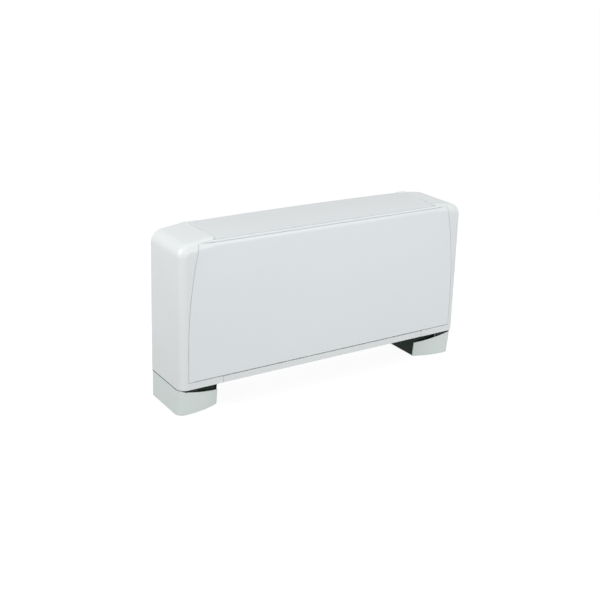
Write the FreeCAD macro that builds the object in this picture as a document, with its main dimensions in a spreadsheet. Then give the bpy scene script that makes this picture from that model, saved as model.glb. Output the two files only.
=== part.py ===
import FreeCAD, Part
import math
import os
import re
import Sketcher

# Floor standing fan coil unit: X runs along its width, the front faces -Y, the floor is Z = 0.

# Driving sizes, in millimetres; names ending in count, angle or shares hold numbers, degrees or shares
SIZES = {
    # casing
    "casing_width": 1200,
    "casing_depth": 220,
    "casing_height": 526,
    "foot_height": 100,
    "corner_radius": 45,
    "front_edge_radius": 30,
    "shoulder_fall": 18,
    "shoulder_run": 130,
    "end_wall": 3,
    "seam_gap": 1.2,
    "overrun": 5,
    # front panel
    "strip_height": 25,
    "strip_end_margin": 164,
    "panel_sheet": 1.2,
    "panel_lift": 2.2,
    "panel_low_margin": 32,
    "panel_top_margin": 75,
    "panel_curve_height": 155,
    "panel_corner_drop": 7,
    "panel_setback": 10,
    "panel_flange": 9,
    "panel_flange_drop": 45,
    "panel_hook": 12,
    "panel_hook_margin": 8,
    # discharge flap
    "flap_gap": 1,
    "flap_wall": 3,
    "flap_front_drop": 7.5,
    "flap_rise": 13.5,
    "flap_sag": 4.5,
    "flap_rear_setback": 10,
    "flap_crown_setback": 65,
    "hinge_setback": 17,
    "hinge_drop": 5,
    "hinge_boss_radius": 10,
    "hinge_boss_length": 30,
    "hinge_pin_radius": 2.5,
    "hinge_pin_depth": 22,
    "hinge_clearance": 0.05,
    "ear_width": 9,
    "ear_half": 6.5,
    # discharge grille
    "grille_seat_drop": 26,
    "grille_flange": 3,
    "grille_rail": 4,
    "grille_rail_gap": 1.5,
    "grille_collar_drop": 3.5,
    "grille_end_margin": 40,
    "grille_front_margin": 18,
    "grille_rear_margin": 36,
    "grille_rim": 3,
    "slat_count": 11,
    "slat_thickness": 2,
    "slat_lean": 4,
    "bar_count": 6,
    "bar_thickness": 3,
    "bar_drop": 2,
    # frame
    "bay_width": 120,
    "frame_sheet": 1.5,
    "frame_gap": 12,
    "plate_flange": 30,
    "plate_flange_front": 40,
    "rear_panel_flange": 38,
    "rear_panel_lift": 6,
    "wall_hole_radius": 4.5,
    "wall_hole_inset": 19,
    "wall_hole_low": 90,
    "wall_hole_top": 73,
    "intake_height": 30,
    "intake_rail": 16,
    "beam_height": 22,
    # filter drawer
    "filter_side_gap": 1.5,
    "filter_front": 4,
    "filter_front_lift": 0.5,
    "filter_run_gap": 0.5,
    "filter_thickness": 12,
    "filter_rear_setback": 15,
    "filter_rim": 8,
    "filter_window_count": 8,
    "filter_bar": 4,
    "filter_mesh": 1,
    "rail_gap": 0.5,
    "rail_lip": 9,
    "rail_drop": 1,
    "rail_front_setback": 5,
    "rail_top": 14,
    # feet
    "foot_width": 164,
    "foot_top_gap": 2,
    "foot_floor_gap": 1,
    "foot_wall": 2,
    "foot_corner": 28,
    "foot_front_setback": 20,
    "foot_lean": 11,
    "foot_sweep": 30,
    "foot_rear_setback": 2,
    "foot_slope_drop": 40,
    "foot_corner_drop": 8,
    "foot_tab": 40,
    "foot_tab_reach": 14,
    "bracket_sheet": 3,
    "bracket_front": 50,
    "bracket_rear": 5,
    "bracket_base": 124.5,
    "bracket_web_clear": 0.5,
    "bracket_face_setback": 1.6,
    "bracket_face_inset": 16.5,
    "bracket_bolt_edge": 19.5,
    "bracket_arm_setback": 20,
    "bracket_arm_width": 30,
    "bracket_lip": 25,
    "floor_hole_radius": 4.5,
    "floor_hole_inset": 21,
    "floor_hole_pitch": 90,
    "pad_half": 14,
    "pad_height": 3,
    "pad_side_inset": 58.5,
    "pad_end_inset": 22.5,
    # fan
    "fan_motor_gap": 26,
    "impeller_gap": 10,
    "impeller_width": 230,
    "impeller_ring": 12,
    "impeller_ring_width": 3,
    "impeller_disc": 2,
    "blade_count": 32,
    "blade_inner": 10,
    "blade_fold": 5,
    "blade_fold_angle": 2.2,
    "blade_tip": 1,
    "blade_tip_angle": 7,
    "blade_thickness_angle": 1,
    "hub_radius": 12,
    "hub_width": 34,
    "hub_clearance": 0.02,
    "shaft_radius": 5,
    "shaft_end": 20,
    "scroll_gap": 17.75,
    "scroll_floor_gap": 12.5,
    "scroll_step": 9,
    "scroll_wall": 2,
    "scroll_side_gap": 6,
    "inlet_lip": 12,
    "outlet_rise": 37,
    "motor_radius": 46,
    "motor_length": 84,
    "motor_bell": 8,
    "motor_bell_radius": 34,
    "motor_neck": 14,
    "motor_neck_radius": 17,
    "motor_bore_gap": 1,
    "bearing_radius": 11,
    "bearing_width": 8,
    "bearing_clearance": 0.03,
    "rubber_ring": 4,
    "cradle_sheet": 2,
    "cradle_half": 40,
    "cradle_tail": 30,
    "rubber_overhang": 3,
    # coil
    "coil_tilt_angle": 30,
    "coil_top_gap": 8,
    "coil_pan_gap": 4,
    "coil_shift": 4,
    "coil_thickness": 50,
    "coil_end_room": 40,
    "coil_margin": 6,
    "fin_count": 40,
    "fin_thickness": 6,
    "fin_core": 10,
    "tube_count": 8,
    "tube_radius": 4.75,
    "tube_edge": 5,
    "tube_run": 6,
    "bend_side_count": 8,
    "bend_fold_count": 4,
    "header_radius": 11,
    "header_length": 46,
    "header_setback": 18,
    "union_radius": 15,
    "union_reach": 26,
    "union_bore": 9.3,
    "union_depth": 16,
    "union_gap": 2,
    "vent_radius": 4,
    "vent_height": 16,
    "vent_stem_radius": 2.5,
    "vent_inset": 5,
    # drain
    "pan_depth": 78,
    "pan_height": 28,
    "pan_wall": 2,
    "pan_end_gap": 4,
    "pan_front_gap": 1,
    "spout_radius": 8,
    "spout_bore": 6,
    "spout_reach": 16,
    "spout_lift": 13,
    "spout_gap": 1,
    "tray_reach": 58,
    "tray_depth": 140,
    "tray_height": 26,
    "tray_drop": 34,
    "tray_spout": 30,
    # electrics
    "box_reach": 58,
    "box_depth": 120,
    "box_height": 110,
    "box_drop": 5,
    "box_wall": 2,
    "box_lid": 2.5,
    "block_reach": 20,
    "block_depth": 80,
    "block_height": 24,
    "gland_radius": 11,
    "gland_bore": 5,
    "gland_reach": 14,
    "capacitor_radius": 16,
    "capacitor_reach": 56,
    "capacitor_drop": 70,
    # fasteners
    "screw_radius": 2.5,
    "screw_clearance": 0.25,
    "screw_head": 5,
    "screw_head_height": 3,
    "screw_point": 1,
    "bolt_tail": 6,
    "bolt_end_inset": 27.5,
}

# Places worked out from the driving sizes
PLACES = {
    "half_width": "casing_width / 2",
    "front": "-casing_depth / 2",
    "rear": "casing_depth / 2",
    "base": "foot_height",
    "crest": "foot_height + casing_height",
    "flap_side": "half_width - shoulder_run",
    "strip_end": "half_width - strip_end_margin",
    "slope_length": "sqrt(shoulder_run ^ 2 + shoulder_fall ^ 2)",
    "corner_tangent": "corner_radius * (slope_length - shoulder_fall) / shoulder_run",
    "panel_low": "half_width - panel_low_margin",
    "panel_top": "half_width - panel_top_margin",
    "panel_bottom": "base + strip_height",
    "panel_curve": "base + panel_curve_height",
    "panel_corner": "crest - panel_corner_drop",
    "panel_back": "front + panel_setback",
    "panel_lean": "panel_low - panel_top",
    "panel_radius": "((panel_corner - panel_curve) ^ 2 + panel_lean ^ 2) / (2 * panel_lean)",
    "hinge_y": "rear - hinge_setback",
    "hinge_z": "crest - hinge_drop",
    "flap_front": "panel_back + flap_gap",
    "flap_rear": "rear - flap_rear_setback",
    "flap_crown": "rear - flap_crown_setback",
    "flap_edge": "crest - flap_front_drop",
    "flap_end": "flap_side - flap_gap",
    "notch_side": "flap_side - hinge_boss_length - flap_gap",
    "notch_front": "hinge_y - hinge_boss_radius - flap_gap",
    "seat": "crest - grille_seat_drop",
    "seat_top": "seat + grille_flange",
    "plate_in": "half_width - bay_width",
    "plate_out": "plate_in + frame_sheet",
    "frame_front": "front + frame_gap",
    "frame_rear": "rear - frame_sheet",
    "frame_middle": "(frame_front + frame_rear) / 2",
    "intake": "base + intake_height",
    "filter_half": "strip_end - filter_side_gap",
    "filter_rear": "rear - filter_rear_setback",
    "filter_low": "base + rail_drop + frame_sheet + filter_run_gap + filter_mesh",
    "rail_web": "filter_half + rail_gap",
    "foot_out": "half_width - end_wall + foot_wall",
    "foot_in": "half_width - foot_width",
    "foot_rear": "rear - foot_rear_setback",
    "foot_top": "foot_height - foot_top_gap",
    "bracket_in": "foot_in + bracket_web_clear",
    "bracket_out": "bracket_in + bracket_base",
    "bracket_y_low": "front + bracket_front",
    "bracket_y_high": "rear - bracket_rear",
    "bracket_face": "bracket_y_low + bracket_face_setback",
    "bracket_middle": "(bracket_y_low + bracket_y_high) / 2",
    "bracket_z": "foot_height - bracket_sheet",
    "floor_x": "bracket_out - floor_hole_inset",
    "pad_x": "bracket_in + pad_side_inset",
    "tab_in": "bracket_out - foot_tab_reach",
    "tab_x": "bracket_out - foot_tab_reach / 2",
    "tab_low": "pad_height + bracket_sheet",
    "tab_top": "tab_low + bracket_sheet",
    "bolt_x": "plate_out + plate_flange / 2",
    "scroll_radius": "(frame_rear - frame_front - 3 * scroll_step) / 2 - scroll_gap - scroll_wall",
    "scroll_half": "impeller_width / 2 + scroll_side_gap + scroll_wall",
    "impeller_radius": "scroll_radius - impeller_gap",
    "inlet_radius": "impeller_radius - inlet_lip",
    "motor_shoulder": "motor_length / 2 + motor_bell",
    "motor_nose": "motor_shoulder + motor_neck",
    "fan_centre": "motor_nose + fan_motor_gap + scroll_half",
    "fan_y": "frame_middle - scroll_step",
    "fan_z": "intake + scroll_floor_gap + scroll_wall + scroll_radius + 3 * scroll_step / 2",
    "deck": "fan_z + scroll_radius + outlet_rise",
    "deck_top": "deck + frame_sheet",
    "pan_front": "frame_front + pan_front_gap",
    "pan_top": "deck_top + pan_height",
    "coil_y": "frame_middle - coil_shift",
    "coil_low": "pan_top + coil_pan_gap",
    "coil_high": "seat - coil_top_gap",
    "coil_z": "(coil_low + coil_high) / 2",
    "coil_side": "coil_thickness / 2 + coil_margin",
    "coil_reach": "(coil_high - coil_low) / 2 - coil_side * sin(coil_tilt_angle)",
    "coil_rim": "coil_reach / cos(coil_tilt_angle)",
    "coil_half": "plate_in - coil_end_room",
    "coil_end": "coil_half + frame_sheet",
    "tube_pitch": "2 * (coil_rim - coil_margin - tube_edge) / tube_count",
    "tube_end": "tube_pitch * (tube_count - 1) / 2",
    "header_x": "coil_end + header_setback",
    "union_root": "header_x + header_radius + union_gap",
    "union_mouth": "plate_out + union_reach",
    "spout_y": "pan_front + pan_depth / 2",
    "spout_z": "deck_top + spout_lift",
    "tray_low": "deck_top - tray_drop",
    "tray_top": "tray_low + tray_height",
    "box_low": "(base + seat) / 2 - box_drop",
    "box_middle": "box_low + box_height / 2",
    "box_out": "plate_out + box_reach",
}

doc = FreeCAD.newDocument("FanCoil")
sheet = doc.addObject("Spreadsheet::Sheet", "Sizes")
for row, (size_name, size_value) in enumerate(SIZES.items(), start=1):
    sheet.set(f"A{row}", size_name)
    sheet.set(f"B{row}", str(size_value))
    sheet.setAlias(f"B{row}", size_name)
places = doc.addObject("App::VarSet", "Places")
for place_name in PLACES:
    places.addProperty("App::PropertyFloat", place_name)
doc.recompute()

NODES = []
PLANES = {"x": ("YZ_Plane", ""), "y": ("XZ_Plane", "-"), "z": ("XY_Plane", "")}
TURNS = {
    "x": FreeCAD.Rotation(FreeCAD.Vector(0, 1, 0), 90),
    "y": FreeCAD.Rotation(FreeCAD.Vector(1, 0, 0), -90),
    "z": FreeCAD.Rotation(),
}
SIDES = {"left": "-1", "right": "1"}
BOLT_ROWS = {"front": "bracket_y_low + bolt_end_inset", "rear": "bracket_y_high - bolt_end_inset"}
SCREW_HOLE = "screw_radius + screw_clearance"


def formula(text):
    """Write a length given in named sizes as an expression on the sheet."""
    def cell(match):
        word = match.group(0)
        if word in PLACES:
            return f"Places.{word}"
        return f"Sizes.{word}" if word in SIZES else word
    return re.sub(r"[a-z_]+", cell, text)


def number(text):
    """Work out a length given in named sizes."""
    return float(sheet.evalExpression(formula(text)))


def bind(thing, links):
    """Tie properties of a document object to lengths given in named sizes."""
    for place, text in links.items():
        thing.setExpression(place, formula(text))
    return thing


def node(thing, label):
    """Name a finished sub-part and list it for export."""
    thing.Label = label
    NODES.append(thing)
    return thing


def block(name, x, y, z):
    """Make a box from its low and high limits along each axis."""
    solid = doc.addObject("Part::Box", name)
    for side, axis, (low, high) in zip(("Length", "Width", "Height"), "xyz", (x, y, z)):
        bind(solid, {side: f"({high}) - ({low})", f"Placement.Base.{axis}": low})
    return solid


def on_side(sign, low, high):
    """Limits between two distances from the middle, on the left or the right half."""
    return (f"-({high})", f"-({low})") if sign == "-1" else (low, high)


def past(span):
    """Limits that run past both ends of a span, for a cut right through it."""
    return (f"{span[0]} - overrun", f"{span[1]} + overrun")


def stand(solid, axis, centre, span):
    """Set a bar along an axis, between two limits on it."""
    solid.Placement = FreeCAD.Placement(FreeCAD.Vector(), TURNS[axis])
    spots = dict(zip([letter for letter in "xyz" if letter != axis], centre))
    spots[axis] = span[0]
    bind(solid, {f"Placement.Base.{letter}": text for letter, text in spots.items()})
    return bind(solid, {"Height": f"({span[1]}) - ({span[0]})"})


def rod(name, axis, centre, radius, span):
    """Make a round bar along an axis, between two limits on it."""
    solid = doc.addObject("Part::Cylinder", name)
    return bind(stand(solid, axis, centre, span), {"Radius": radius})


def hexagon(name, axis, centre, radius, span):
    """Make a six sided bar along an axis, between two limits on it."""
    solid = doc.addObject("Part::Prism", name)
    solid.Polygon = 6
    return bind(stand(solid, axis, centre, span), {"Circumradius": radius})


def ring(name, axis, centre, radii, span, outside=rod):
    """Make a tube along an axis from its outer and inner radius."""
    hole = rod(f"{name}_hole", axis, centre, radii[1], past(span))
    return cut(name, outside(f"{name}_outside", axis, centre, radii[0], span), hole)


def hollow(name, x, y, z, wall, opening):
    """Make a box with walls, left open at the high side along one axis."""
    spans = []
    for axis, (low, high) in zip("xyz", (x, y, z)):
        spans.append((f"{low} + {wall}", f"{high} + overrun" if axis == opening else f"{high} - {wall}"))
    return cut(name, block(f"{name}_outside", x, y, z), block(f"{name}_inside", *spans))


def screw(name, place, length):
    """Make a six sided screw standing head up, its head seated at a place."""
    x, y, z = place
    head = hexagon(f"{name}_head", "z", (x, y), "screw_head", (z, f"{z} + screw_head_height"))
    return fuse(name, head, rod(f"{name}_shank", "z", (x, y), "screw_radius", (f"{z} - ({length})", z)))


def fuse(name, *solids):
    """Join solids into one."""
    joined = doc.addObject("Part::MultiFuse", name)
    joined.Shapes = list(solids)
    return joined


def cut(name, solid, *tools):
    """Take tools away from a solid."""
    rest = doc.addObject("Part::Cut", name)
    rest.Base = solid
    rest.Tool = tools[0] if len(tools) == 1 else fuse(f"{name}_tools", *tools)
    return rest


def group(name, *solids):
    """Keep separate solids together as one sub-part."""
    bundle = doc.addObject("Part::Compound", name)
    bundle.Links = list(solids)
    return bundle


def common(name, *solids):
    """Keep what solids share."""
    shared = doc.addObject("Part::MultiCommon", name)
    shared.Shapes = list(solids)
    return shared


def mirror(name, solid, normal=(1, 0, 0)):
    """Make the opposite hand of a solid across a plane through the origin."""
    twin = doc.addObject("Part::Mirroring", name)
    twin.Source = solid
    twin.Normal = FreeCAD.Vector(*normal)
    return twin


def origin_part(body, role):
    """Find a plane or axis of a body's own origin."""
    return next(part for part in body.Origin.OriginFeatures if part.Role == role)


def rect(first, second):
    """Outline of a rectangle from its limits along the two sketch axes."""
    (left, right), (low, high) = first, second
    return [(left, low), (right, low), (right, high), (left, high)]


def bend(start, end, radius, side):
    """Arc between two points, turning left of its way for side 1 and right for side -1."""
    chord = math.hypot(end[0] - start[0], end[1] - start[1])
    rise = side * math.sqrt(max(radius ** 2 - chord ** 2 / 4, 0))
    centre = FreeCAD.Vector(
        (start[0] + end[0]) / 2 - rise * (end[1] - start[1]) / chord,
        (start[1] + end[1]) / 2 + rise * (end[0] - start[0]) / chord,
        0,
    )
    angles = [math.atan2(spot[1] - centre.y, spot[0] - centre.x) for spot in (start, end)[::side]]
    circle = Part.Circle(centre, FreeCAD.Vector(0, 0, 1), radius)
    return Part.ArcOfCircle(circle, *angles)


def tie(sketch, kind, where, text):
    """Add a sketch dimension and tie it to a length."""
    index = sketch.addConstraint(Sketcher.Constraint(kind, *where, number(text)))
    bind(sketch, {f"Constraints[{index}]": text})


def draw_circle(sketch, centre, radius):
    """Draw a fully dimensioned circle."""
    middle = FreeCAD.Vector(number(centre[0]), number(centre[1]), 0)
    index = sketch.addGeometry(Part.Circle(middle, FreeCAD.Vector(0, 0, 1), number(radius)), False)
    tie_point(sketch, (index, 3), centre)
    tie(sketch, "Radius", (index,), radius)


def tie_point(sketch, point, place):
    """Tie a point of a sketch to its place along both sketch axes."""
    for kind, text in zip(("DistanceX", "DistanceY"), place):
        tie(sketch, kind, (-1, 1, *point), text)


def draw_outline(sketch, corners, closed=True):
    """Draw a fully dimensioned outline; a corner with a radius and side starts an arc."""
    first = sketch.GeometryCount
    spots = [(number(corner[0]), number(corner[1])) for corner in corners]
    runs = corners if closed else corners[:-1]
    ends = []
    for index, corner in enumerate(runs):
        start, end = spots[index], spots[(index + 1) % len(spots)]
        if len(corner) == 2:
            line = Part.LineSegment(FreeCAD.Vector(*start, 0), FreeCAD.Vector(*end, 0))
            ends.append((1, 2))
        else:
            line = bend(start, end, number(corner[2]), corner[3])
            ends.append((1, 2)[::corner[3]])
        sketch.addGeometry(line, False)
    for index, corner in enumerate(runs):
        after = (index + 1) % len(runs)
        tie_point(sketch, (first + index, ends[index][0]), corner[:2])
        if len(corner) > 2:
            tie(sketch, "Radius", (first + index,), corner[2])
        if after or closed:
            joint = (first + index, ends[index][1], first + after, ends[after][0])
            sketch.addConstraint(Sketcher.Constraint("Coincident", *joint))
        else:
            tie_point(sketch, (first + index, ends[index][1]), corners[-1][:2])


def sketch_at(body, axis, place, *outlines, closed=True):
    """Draw outlines on a plane square to an axis of the body; a tuple is a circle."""
    role, sign = PLANES[axis]
    sketch = body.newObject("Sketcher::SketchObject", f"{body.Name}_sketch")
    sketch.AttachmentSupport = [(origin_part(body, role), "")]
    sketch.MapMode = "FlatFace"
    bind(sketch, {"AttachmentOffset.Base.z": f"{sign}({place})"})
    for outline in outlines:
        if isinstance(outline, tuple):
            draw_circle(sketch, *outline)
        else:
            draw_outline(sketch, outline, closed)
    return sketch


def pad(body, axis, span, *outlines):
    """Add outlines drawn out along an axis between two limits."""
    feature = body.newObject("PartDesign::Pad", f"{body.Name}_pad")
    feature.Profile = sketch_at(body, axis, span[0], *outlines)
    feature.Reversed = axis == "y"
    bind(feature, {"Length": f"({span[1]}) - ({span[0]})"})
    doc.recompute()
    return feature


def pocket(body, axis, span, *outlines):
    """Cut outlines drawn out along an axis between two limits."""
    feature = body.newObject("PartDesign::Pocket", f"{body.Name}_pocket")
    feature.Profile = sketch_at(body, axis, span[0], *outlines)
    feature.Reversed = axis != "y"
    bind(feature, {"Length": f"({span[1]}) - ({span[0]})"})
    doc.recompute()
    return feature


def row(body, feature, axis, length, count):
    """Repeat a feature along an axis, spread over a length."""
    pattern = body.newObject("PartDesign::LinearPattern", f"{body.Name}_row")
    pattern.Originals = [feature]
    pattern.Direction = (origin_part(body, f"{axis.upper()}_Axis"), [""])
    bind(pattern, {"Length": length, "Occurrences": count})
    body.Tip = pattern
    doc.recompute()
    return pattern


def round_edges(body, feature, y, radius):
    """Round the edges in a plane square to Y, except along the open bottom and inner side."""
    names = []
    for index, edge in enumerate(feature.Shape.Edges, start=1):
        box = edge.BoundBox
        in_plane = abs(box.YMin - number(y)) < 1e-4 and abs(box.YMax - number(y)) < 1e-4
        at_bottom = box.ZMax < number("base") + 1e-4
        at_inside = box.XLength < 1e-4 and abs(abs(box.XMax) - number("strip_end")) < 1e-4
        if in_plane and not at_bottom and not at_inside:
            names.append(f"Edge{index}")
    fillet = body.newObject("PartDesign::Fillet", f"{body.Name}_fillet")
    fillet.Base = (feature, names)
    bind(fillet, {"Radius": radius})
    doc.recompute()
    return fillet


def casing_corner(inset):
    """Left shoulder and side of the casing in front view, inset by a wall, from the flat top down."""
    slide = f"(corner_tangent * shoulder_run + {inset} * shoulder_fall) / slope_length"
    climb = f"(corner_tangent * shoulder_fall - {inset} * shoulder_run) / slope_length"
    return [
        (f"-flap_side + {inset} * (slope_length - shoulder_run) / shoulder_fall", f"crest - {inset}"),
        (f"-half_width + {slide}", f"crest - shoulder_fall + {climb}", f"corner_radius - {inset}", 1),
        (f"-half_width + {inset}", "crest - shoulder_fall - corner_tangent"),
    ]


def end_outline(inset, inner, low):
    """Left end of the casing in front view, open towards the middle and the bottom."""
    corner = casing_corner(inset)
    return [(inner, f"crest - {inset}"), *corner, (f"-half_width + {inset}", low), (inner, low)]


def full_outline(inset, low):
    """Whole casing in front view."""
    left = casing_corner(inset)
    flat, slope, side = [(f"-({spot[0]})", spot[1]) for spot in left]
    right = [(f"half_width - {inset}", low), (*side, *left[1][2:]), slope, flat]
    return [*left, (f"-half_width + {inset}", low), *right]


def panel_edge(inset, low, top):
    """Right edge of the front panel between two heights."""
    lean = f"panel_radius - sqrt(panel_radius ^ 2 - ({top} - panel_curve) ^ 2)"
    return [
        (f"panel_low - {inset}", low),
        (f"panel_low - {inset}", "panel_curve", "panel_radius", 1),
        (f"panel_low - {inset} - ({lean})", top),
    ]


def walk_back(edge):
    """The same edge walked from its end to its start."""
    turned = []
    for index in range(len(edge) - 1, -1, -1):
        arc = edge[index - 1][2:] if index else ()
        turned.append((*edge[index][:2], *((arc[0], -arc[1]) if arc else ())))
    return turned


def across(edge):
    """Opposite hand of an edge across the middle of the unit."""
    return [(f"-({spot[0]})", spot[1], *((spot[2], -spot[3]) if spot[2:] else ())) for spot in edge]


def build_end_caps():
    """Moulded end caps with shoulder, front strip and flap hinge boss."""
    cap = doc.addObject("PartDesign::Body", "left_cap")
    pad(cap, "y", ("front", "rear"), end_outline("0", "-strip_end", "base"))
    cavity = end_outline("end_wall", "-strip_end + overrun", "base - overrun")
    inside = pocket(cap, "y", ("front + end_wall", "rear + overrun"), cavity)
    inner = round_edges(cap, inside, "front + end_wall", "front_edge_radius - end_wall")
    round_edges(cap, inner, "front", "front_edge_radius")
    opening = rect(("-flap_side", "-strip_end + overrun"), ("panel_back", "rear + overrun"))
    pocket(cap, "z", ("base - overrun", "crest + overrun"), opening)
    seam = [
        ("-strip_end + overrun", "crest + overrun"),
        ("-panel_top", "crest + overrun"),
        *across(walk_back(panel_edge("0", "panel_bottom", "panel_corner"))),
        ("-strip_end + overrun", "panel_bottom"),
    ]
    pocket(cap, "y", ("front - overrun", "panel_back"), seam)
    wall = rect(("-flap_side - end_wall", "-flap_side"), ("panel_back", "frame_rear"))
    pad(cap, "z", ("seat_top", "crest - end_wall / 2"), wall)
    boss_end = "-flap_side + hinge_boss_length"
    pad(cap, "x", ("-flap_side - end_wall", boss_end), (("hinge_y", "hinge_z"), "hinge_boss_radius"))
    bore = (f"{boss_end} - hinge_pin_depth", f"{boss_end} + overrun")
    pocket(cap, "x", bore, (("hinge_y", "hinge_z"), "hinge_pin_radius"))
    node(cap, "left_end_cap")
    node(mirror("right_cap", cap), "right_end_cap")


def build_front_panel():
    """Folded sheet panel that follows the casing's front and its rounded top edge."""
    panel = doc.addObject("PartDesign::Body", "panel")
    back = "front + front_edge_radius + overrun"
    pad(panel, "y", ("front", back), full_outline("0", "base"))
    cavity = full_outline("panel_sheet", "base - overrun")
    inside = pocket(panel, "y", ("front + panel_sheet", f"{back} + overrun"), cavity)
    inner = round_edges(panel, inside, "front + panel_sheet", "front_edge_radius - panel_sheet")
    round_edges(panel, inner, "front", "front_edge_radius")
    low = "panel_bottom + panel_lift"
    right = panel_edge("seam_gap", low, "panel_corner")
    keep = [
        *right,
        ("panel_top - seam_gap", "crest + overrun"),
        ("-panel_top + seam_gap", "crest + overrun"),
        *across(walk_back(right)),
    ]
    around = rect(past(("-half_width", "half_width")), ("base - overrun", "crest + 2 * overrun"))
    pocket(panel, "y", past(("front", back)), around, keep)
    edge = "panel_back - seam_gap"
    behind = rect(("-half_width", "half_width"), ("base", "crest + overrun"))
    pocket(panel, "y", (edge, f"{back} + overrun"), behind)
    top = "crest - panel_flange_drop"
    fold_in = "(seam_gap + panel_sheet)"
    flange = [*panel_edge("seam_gap", low, top), *walk_back(panel_edge(fold_in, low, top))]
    fold = ("front + panel_sheet / 2", "front + panel_flange")
    pad(panel, "y", fold, flange)
    pad(panel, "y", fold, across(flange))
    sill_end = "panel_low - seam_gap - panel_sheet / 2"
    pad(panel, "y", fold, rect((f"-({sill_end})", sill_end), (low, f"{low} + panel_sheet")))
    hook_end = "flap_side - panel_hook_margin"
    hook_top = "flap_edge - panel_sheet"
    hook = rect((f"-({hook_end})", hook_end), (f"{hook_top} - panel_hook", hook_top))
    pad(panel, "y", (f"{edge} - panel_sheet", edge), hook)
    node(panel, "front_panel")


def flap_section(rise):
    """Section of the curved flap: front edge, crown and rear edge, one wall thick."""
    reach = "flap_crown - flap_front"
    radius = f"((({reach}) ^ 2 + ({rise}) ^ 2) / (2 * ({rise})))"
    tail = f"flap_edge + {rise} - {radius} + sqrt({radius} ^ 2 - (flap_rear - flap_crown) ^ 2)"
    return [
        ("flap_front", "flap_edge", radius, -1),
        ("flap_rear", tail),
        ("flap_rear", f"{tail} - flap_wall", radius, 1),
        ("flap_front", "flap_edge - flap_wall"),
    ]


def build_flap():
    """Crowned discharge flap with hinge ears, and the pins that it turns on."""
    flap = doc.addObject("PartDesign::Body", "flap")
    ends = flap_section("flap_rise - flap_sag")
    stations = [("-flap_end", ends), ("0", flap_section("flap_rise")), ("flap_end", ends)]
    sections = [sketch_at(flap, "x", place, outline) for place, outline in stations]
    loft = flap.newObject("PartDesign::AdditiveLoft", "flap_loft")
    loft.Profile = sections[0]
    loft.Sections = sections[1:]
    doc.recompute()
    notch_x = ("notch_side", "flap_side + overrun")
    notch_y = ("notch_front", "rear + overrun")
    for sign in SIDES.values():
        notch = rect([f"{sign} * ({limit})" for limit in notch_x], notch_y)
        pocket(flap, "z", ("seat", "crest + flap_rise"), notch)
    ear_y = ("hinge_y - ear_half", "hinge_y + ear_half")
    ear = rect(ear_y, ("hinge_z - ear_half", "flap_edge + flap_rise - flap_sag - flap_wall / 2"))
    bore = (("hinge_y", "hinge_z"), "hinge_pin_radius + hinge_clearance")
    for sign in SIDES.values():
        span = on_side(sign, "notch_side - ear_width", "notch_side")
        pad(flap, "x", span, ear)
        pocket(flap, "x", past(span), bore)
    node(flap, "discharge_flap")
    pins = []
    for side, sign in SIDES.items():
        span = on_side(sign, "notch_side - ear_width", "flap_side - hinge_boss_length + hinge_pin_depth")
        pins.append(rod(f"{side}_pin", "x", ("hinge_y", "hinge_z"), "hinge_pin_radius", span))
    node(group("pins", *pins), "flap_hinge_pins")


def build_grille():
    """Moulded outlet with leaning slats on cross bars, the seat for flap and front panel."""
    grille = doc.addObject("PartDesign::Body", "grille")
    rail_front = "panel_back - seam_gap + rail_gap"
    opening_x = ("-plate_in + grille_end_margin", "plate_in - grille_end_margin")
    opening_y = ("frame_front + grille_front_margin", "frame_rear - grille_rear_margin")
    pad(grille, "z", ("seat", "seat_top"), rect(("-plate_out", "plate_out"), (rail_front, "frame_rear")))
    rail_x = ("-flap_side + panel_hook_margin", "flap_side - panel_hook_margin")
    rail = rect(rail_x, (rail_front, f"{rail_front} + grille_rail"))
    pad(grille, "z", ("seat", "flap_edge - flap_wall - grille_rail_gap"), rail)
    collar = rect(
        (f"{opening_x[0]} - grille_rim", f"{opening_x[1]} + grille_rim"),
        (f"{opening_y[0]} - grille_rim", f"{opening_y[1]} + grille_rim"),
    )
    top = "flap_edge - flap_wall - grille_collar_drop"
    pad(grille, "z", ("seat", top), collar)
    pocket(grille, "z", ("seat - overrun", "crest"), rect(opening_x, opening_y))
    pitch = f"(({opening_y[1]}) - ({opening_y[0]})) / (slat_count + 1)"
    slat_y = f"{opening_y[0]} + {pitch}"
    slat = [
        (f"{slat_y} - slat_lean / 2", top),
        (f"{slat_y} - slat_lean / 2 - slat_thickness", top),
        (f"{slat_y} + slat_lean / 2 - slat_thickness", "seat + bar_drop"),
        (f"{slat_y} + slat_lean / 2", "seat + bar_drop"),
    ]
    slat_x = (f"{opening_x[0]} - grille_rim / 2", f"{opening_x[1]} + grille_rim / 2")
    row(grille, pad(grille, "x", slat_x, slat), "y", f"{pitch} * (slat_count - 1)", "slat_count")
    step = f"(({opening_x[1]}) - ({opening_x[0]})) / (bar_count + 1)"
    bar_x = f"{opening_x[0]} + {step}"
    bar_y = (f"{opening_y[0]} - grille_rim / 2", f"{opening_y[1]} + grille_rim / 2")
    bar = pad(grille, "z", ("seat", "seat_top + bar_drop"), rect((f"{bar_x} - bar_thickness", bar_x), bar_y))
    row(grille, bar, "x", f"{step} * (bar_count - 1)", "bar_count")
    node(grille, "discharge_grille")


def plate_ways():
    """Names, places and radii of the openings in each frame plate."""
    return {
        "left": [
            ("lower_union", union_spot("-1"), "union_radius + union_gap"),
            ("upper_union", union_spot("1"), "union_radius + union_gap"),
            ("drain", ("spout_y", "spout_z"), "spout_radius + spout_gap"),
        ],
        "right": [("cable", ("0", "box_middle"), "gland_radius")],
    }


def union_spot(sign):
    """Depth and height of a water connection, on the tilted coil's lower or upper end tube."""
    return (
        f"coil_y + {sign} * tube_end * sin(coil_tilt_angle)",
        f"coil_z + {sign} * tube_end * cos(coil_tilt_angle)",
    )


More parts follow.
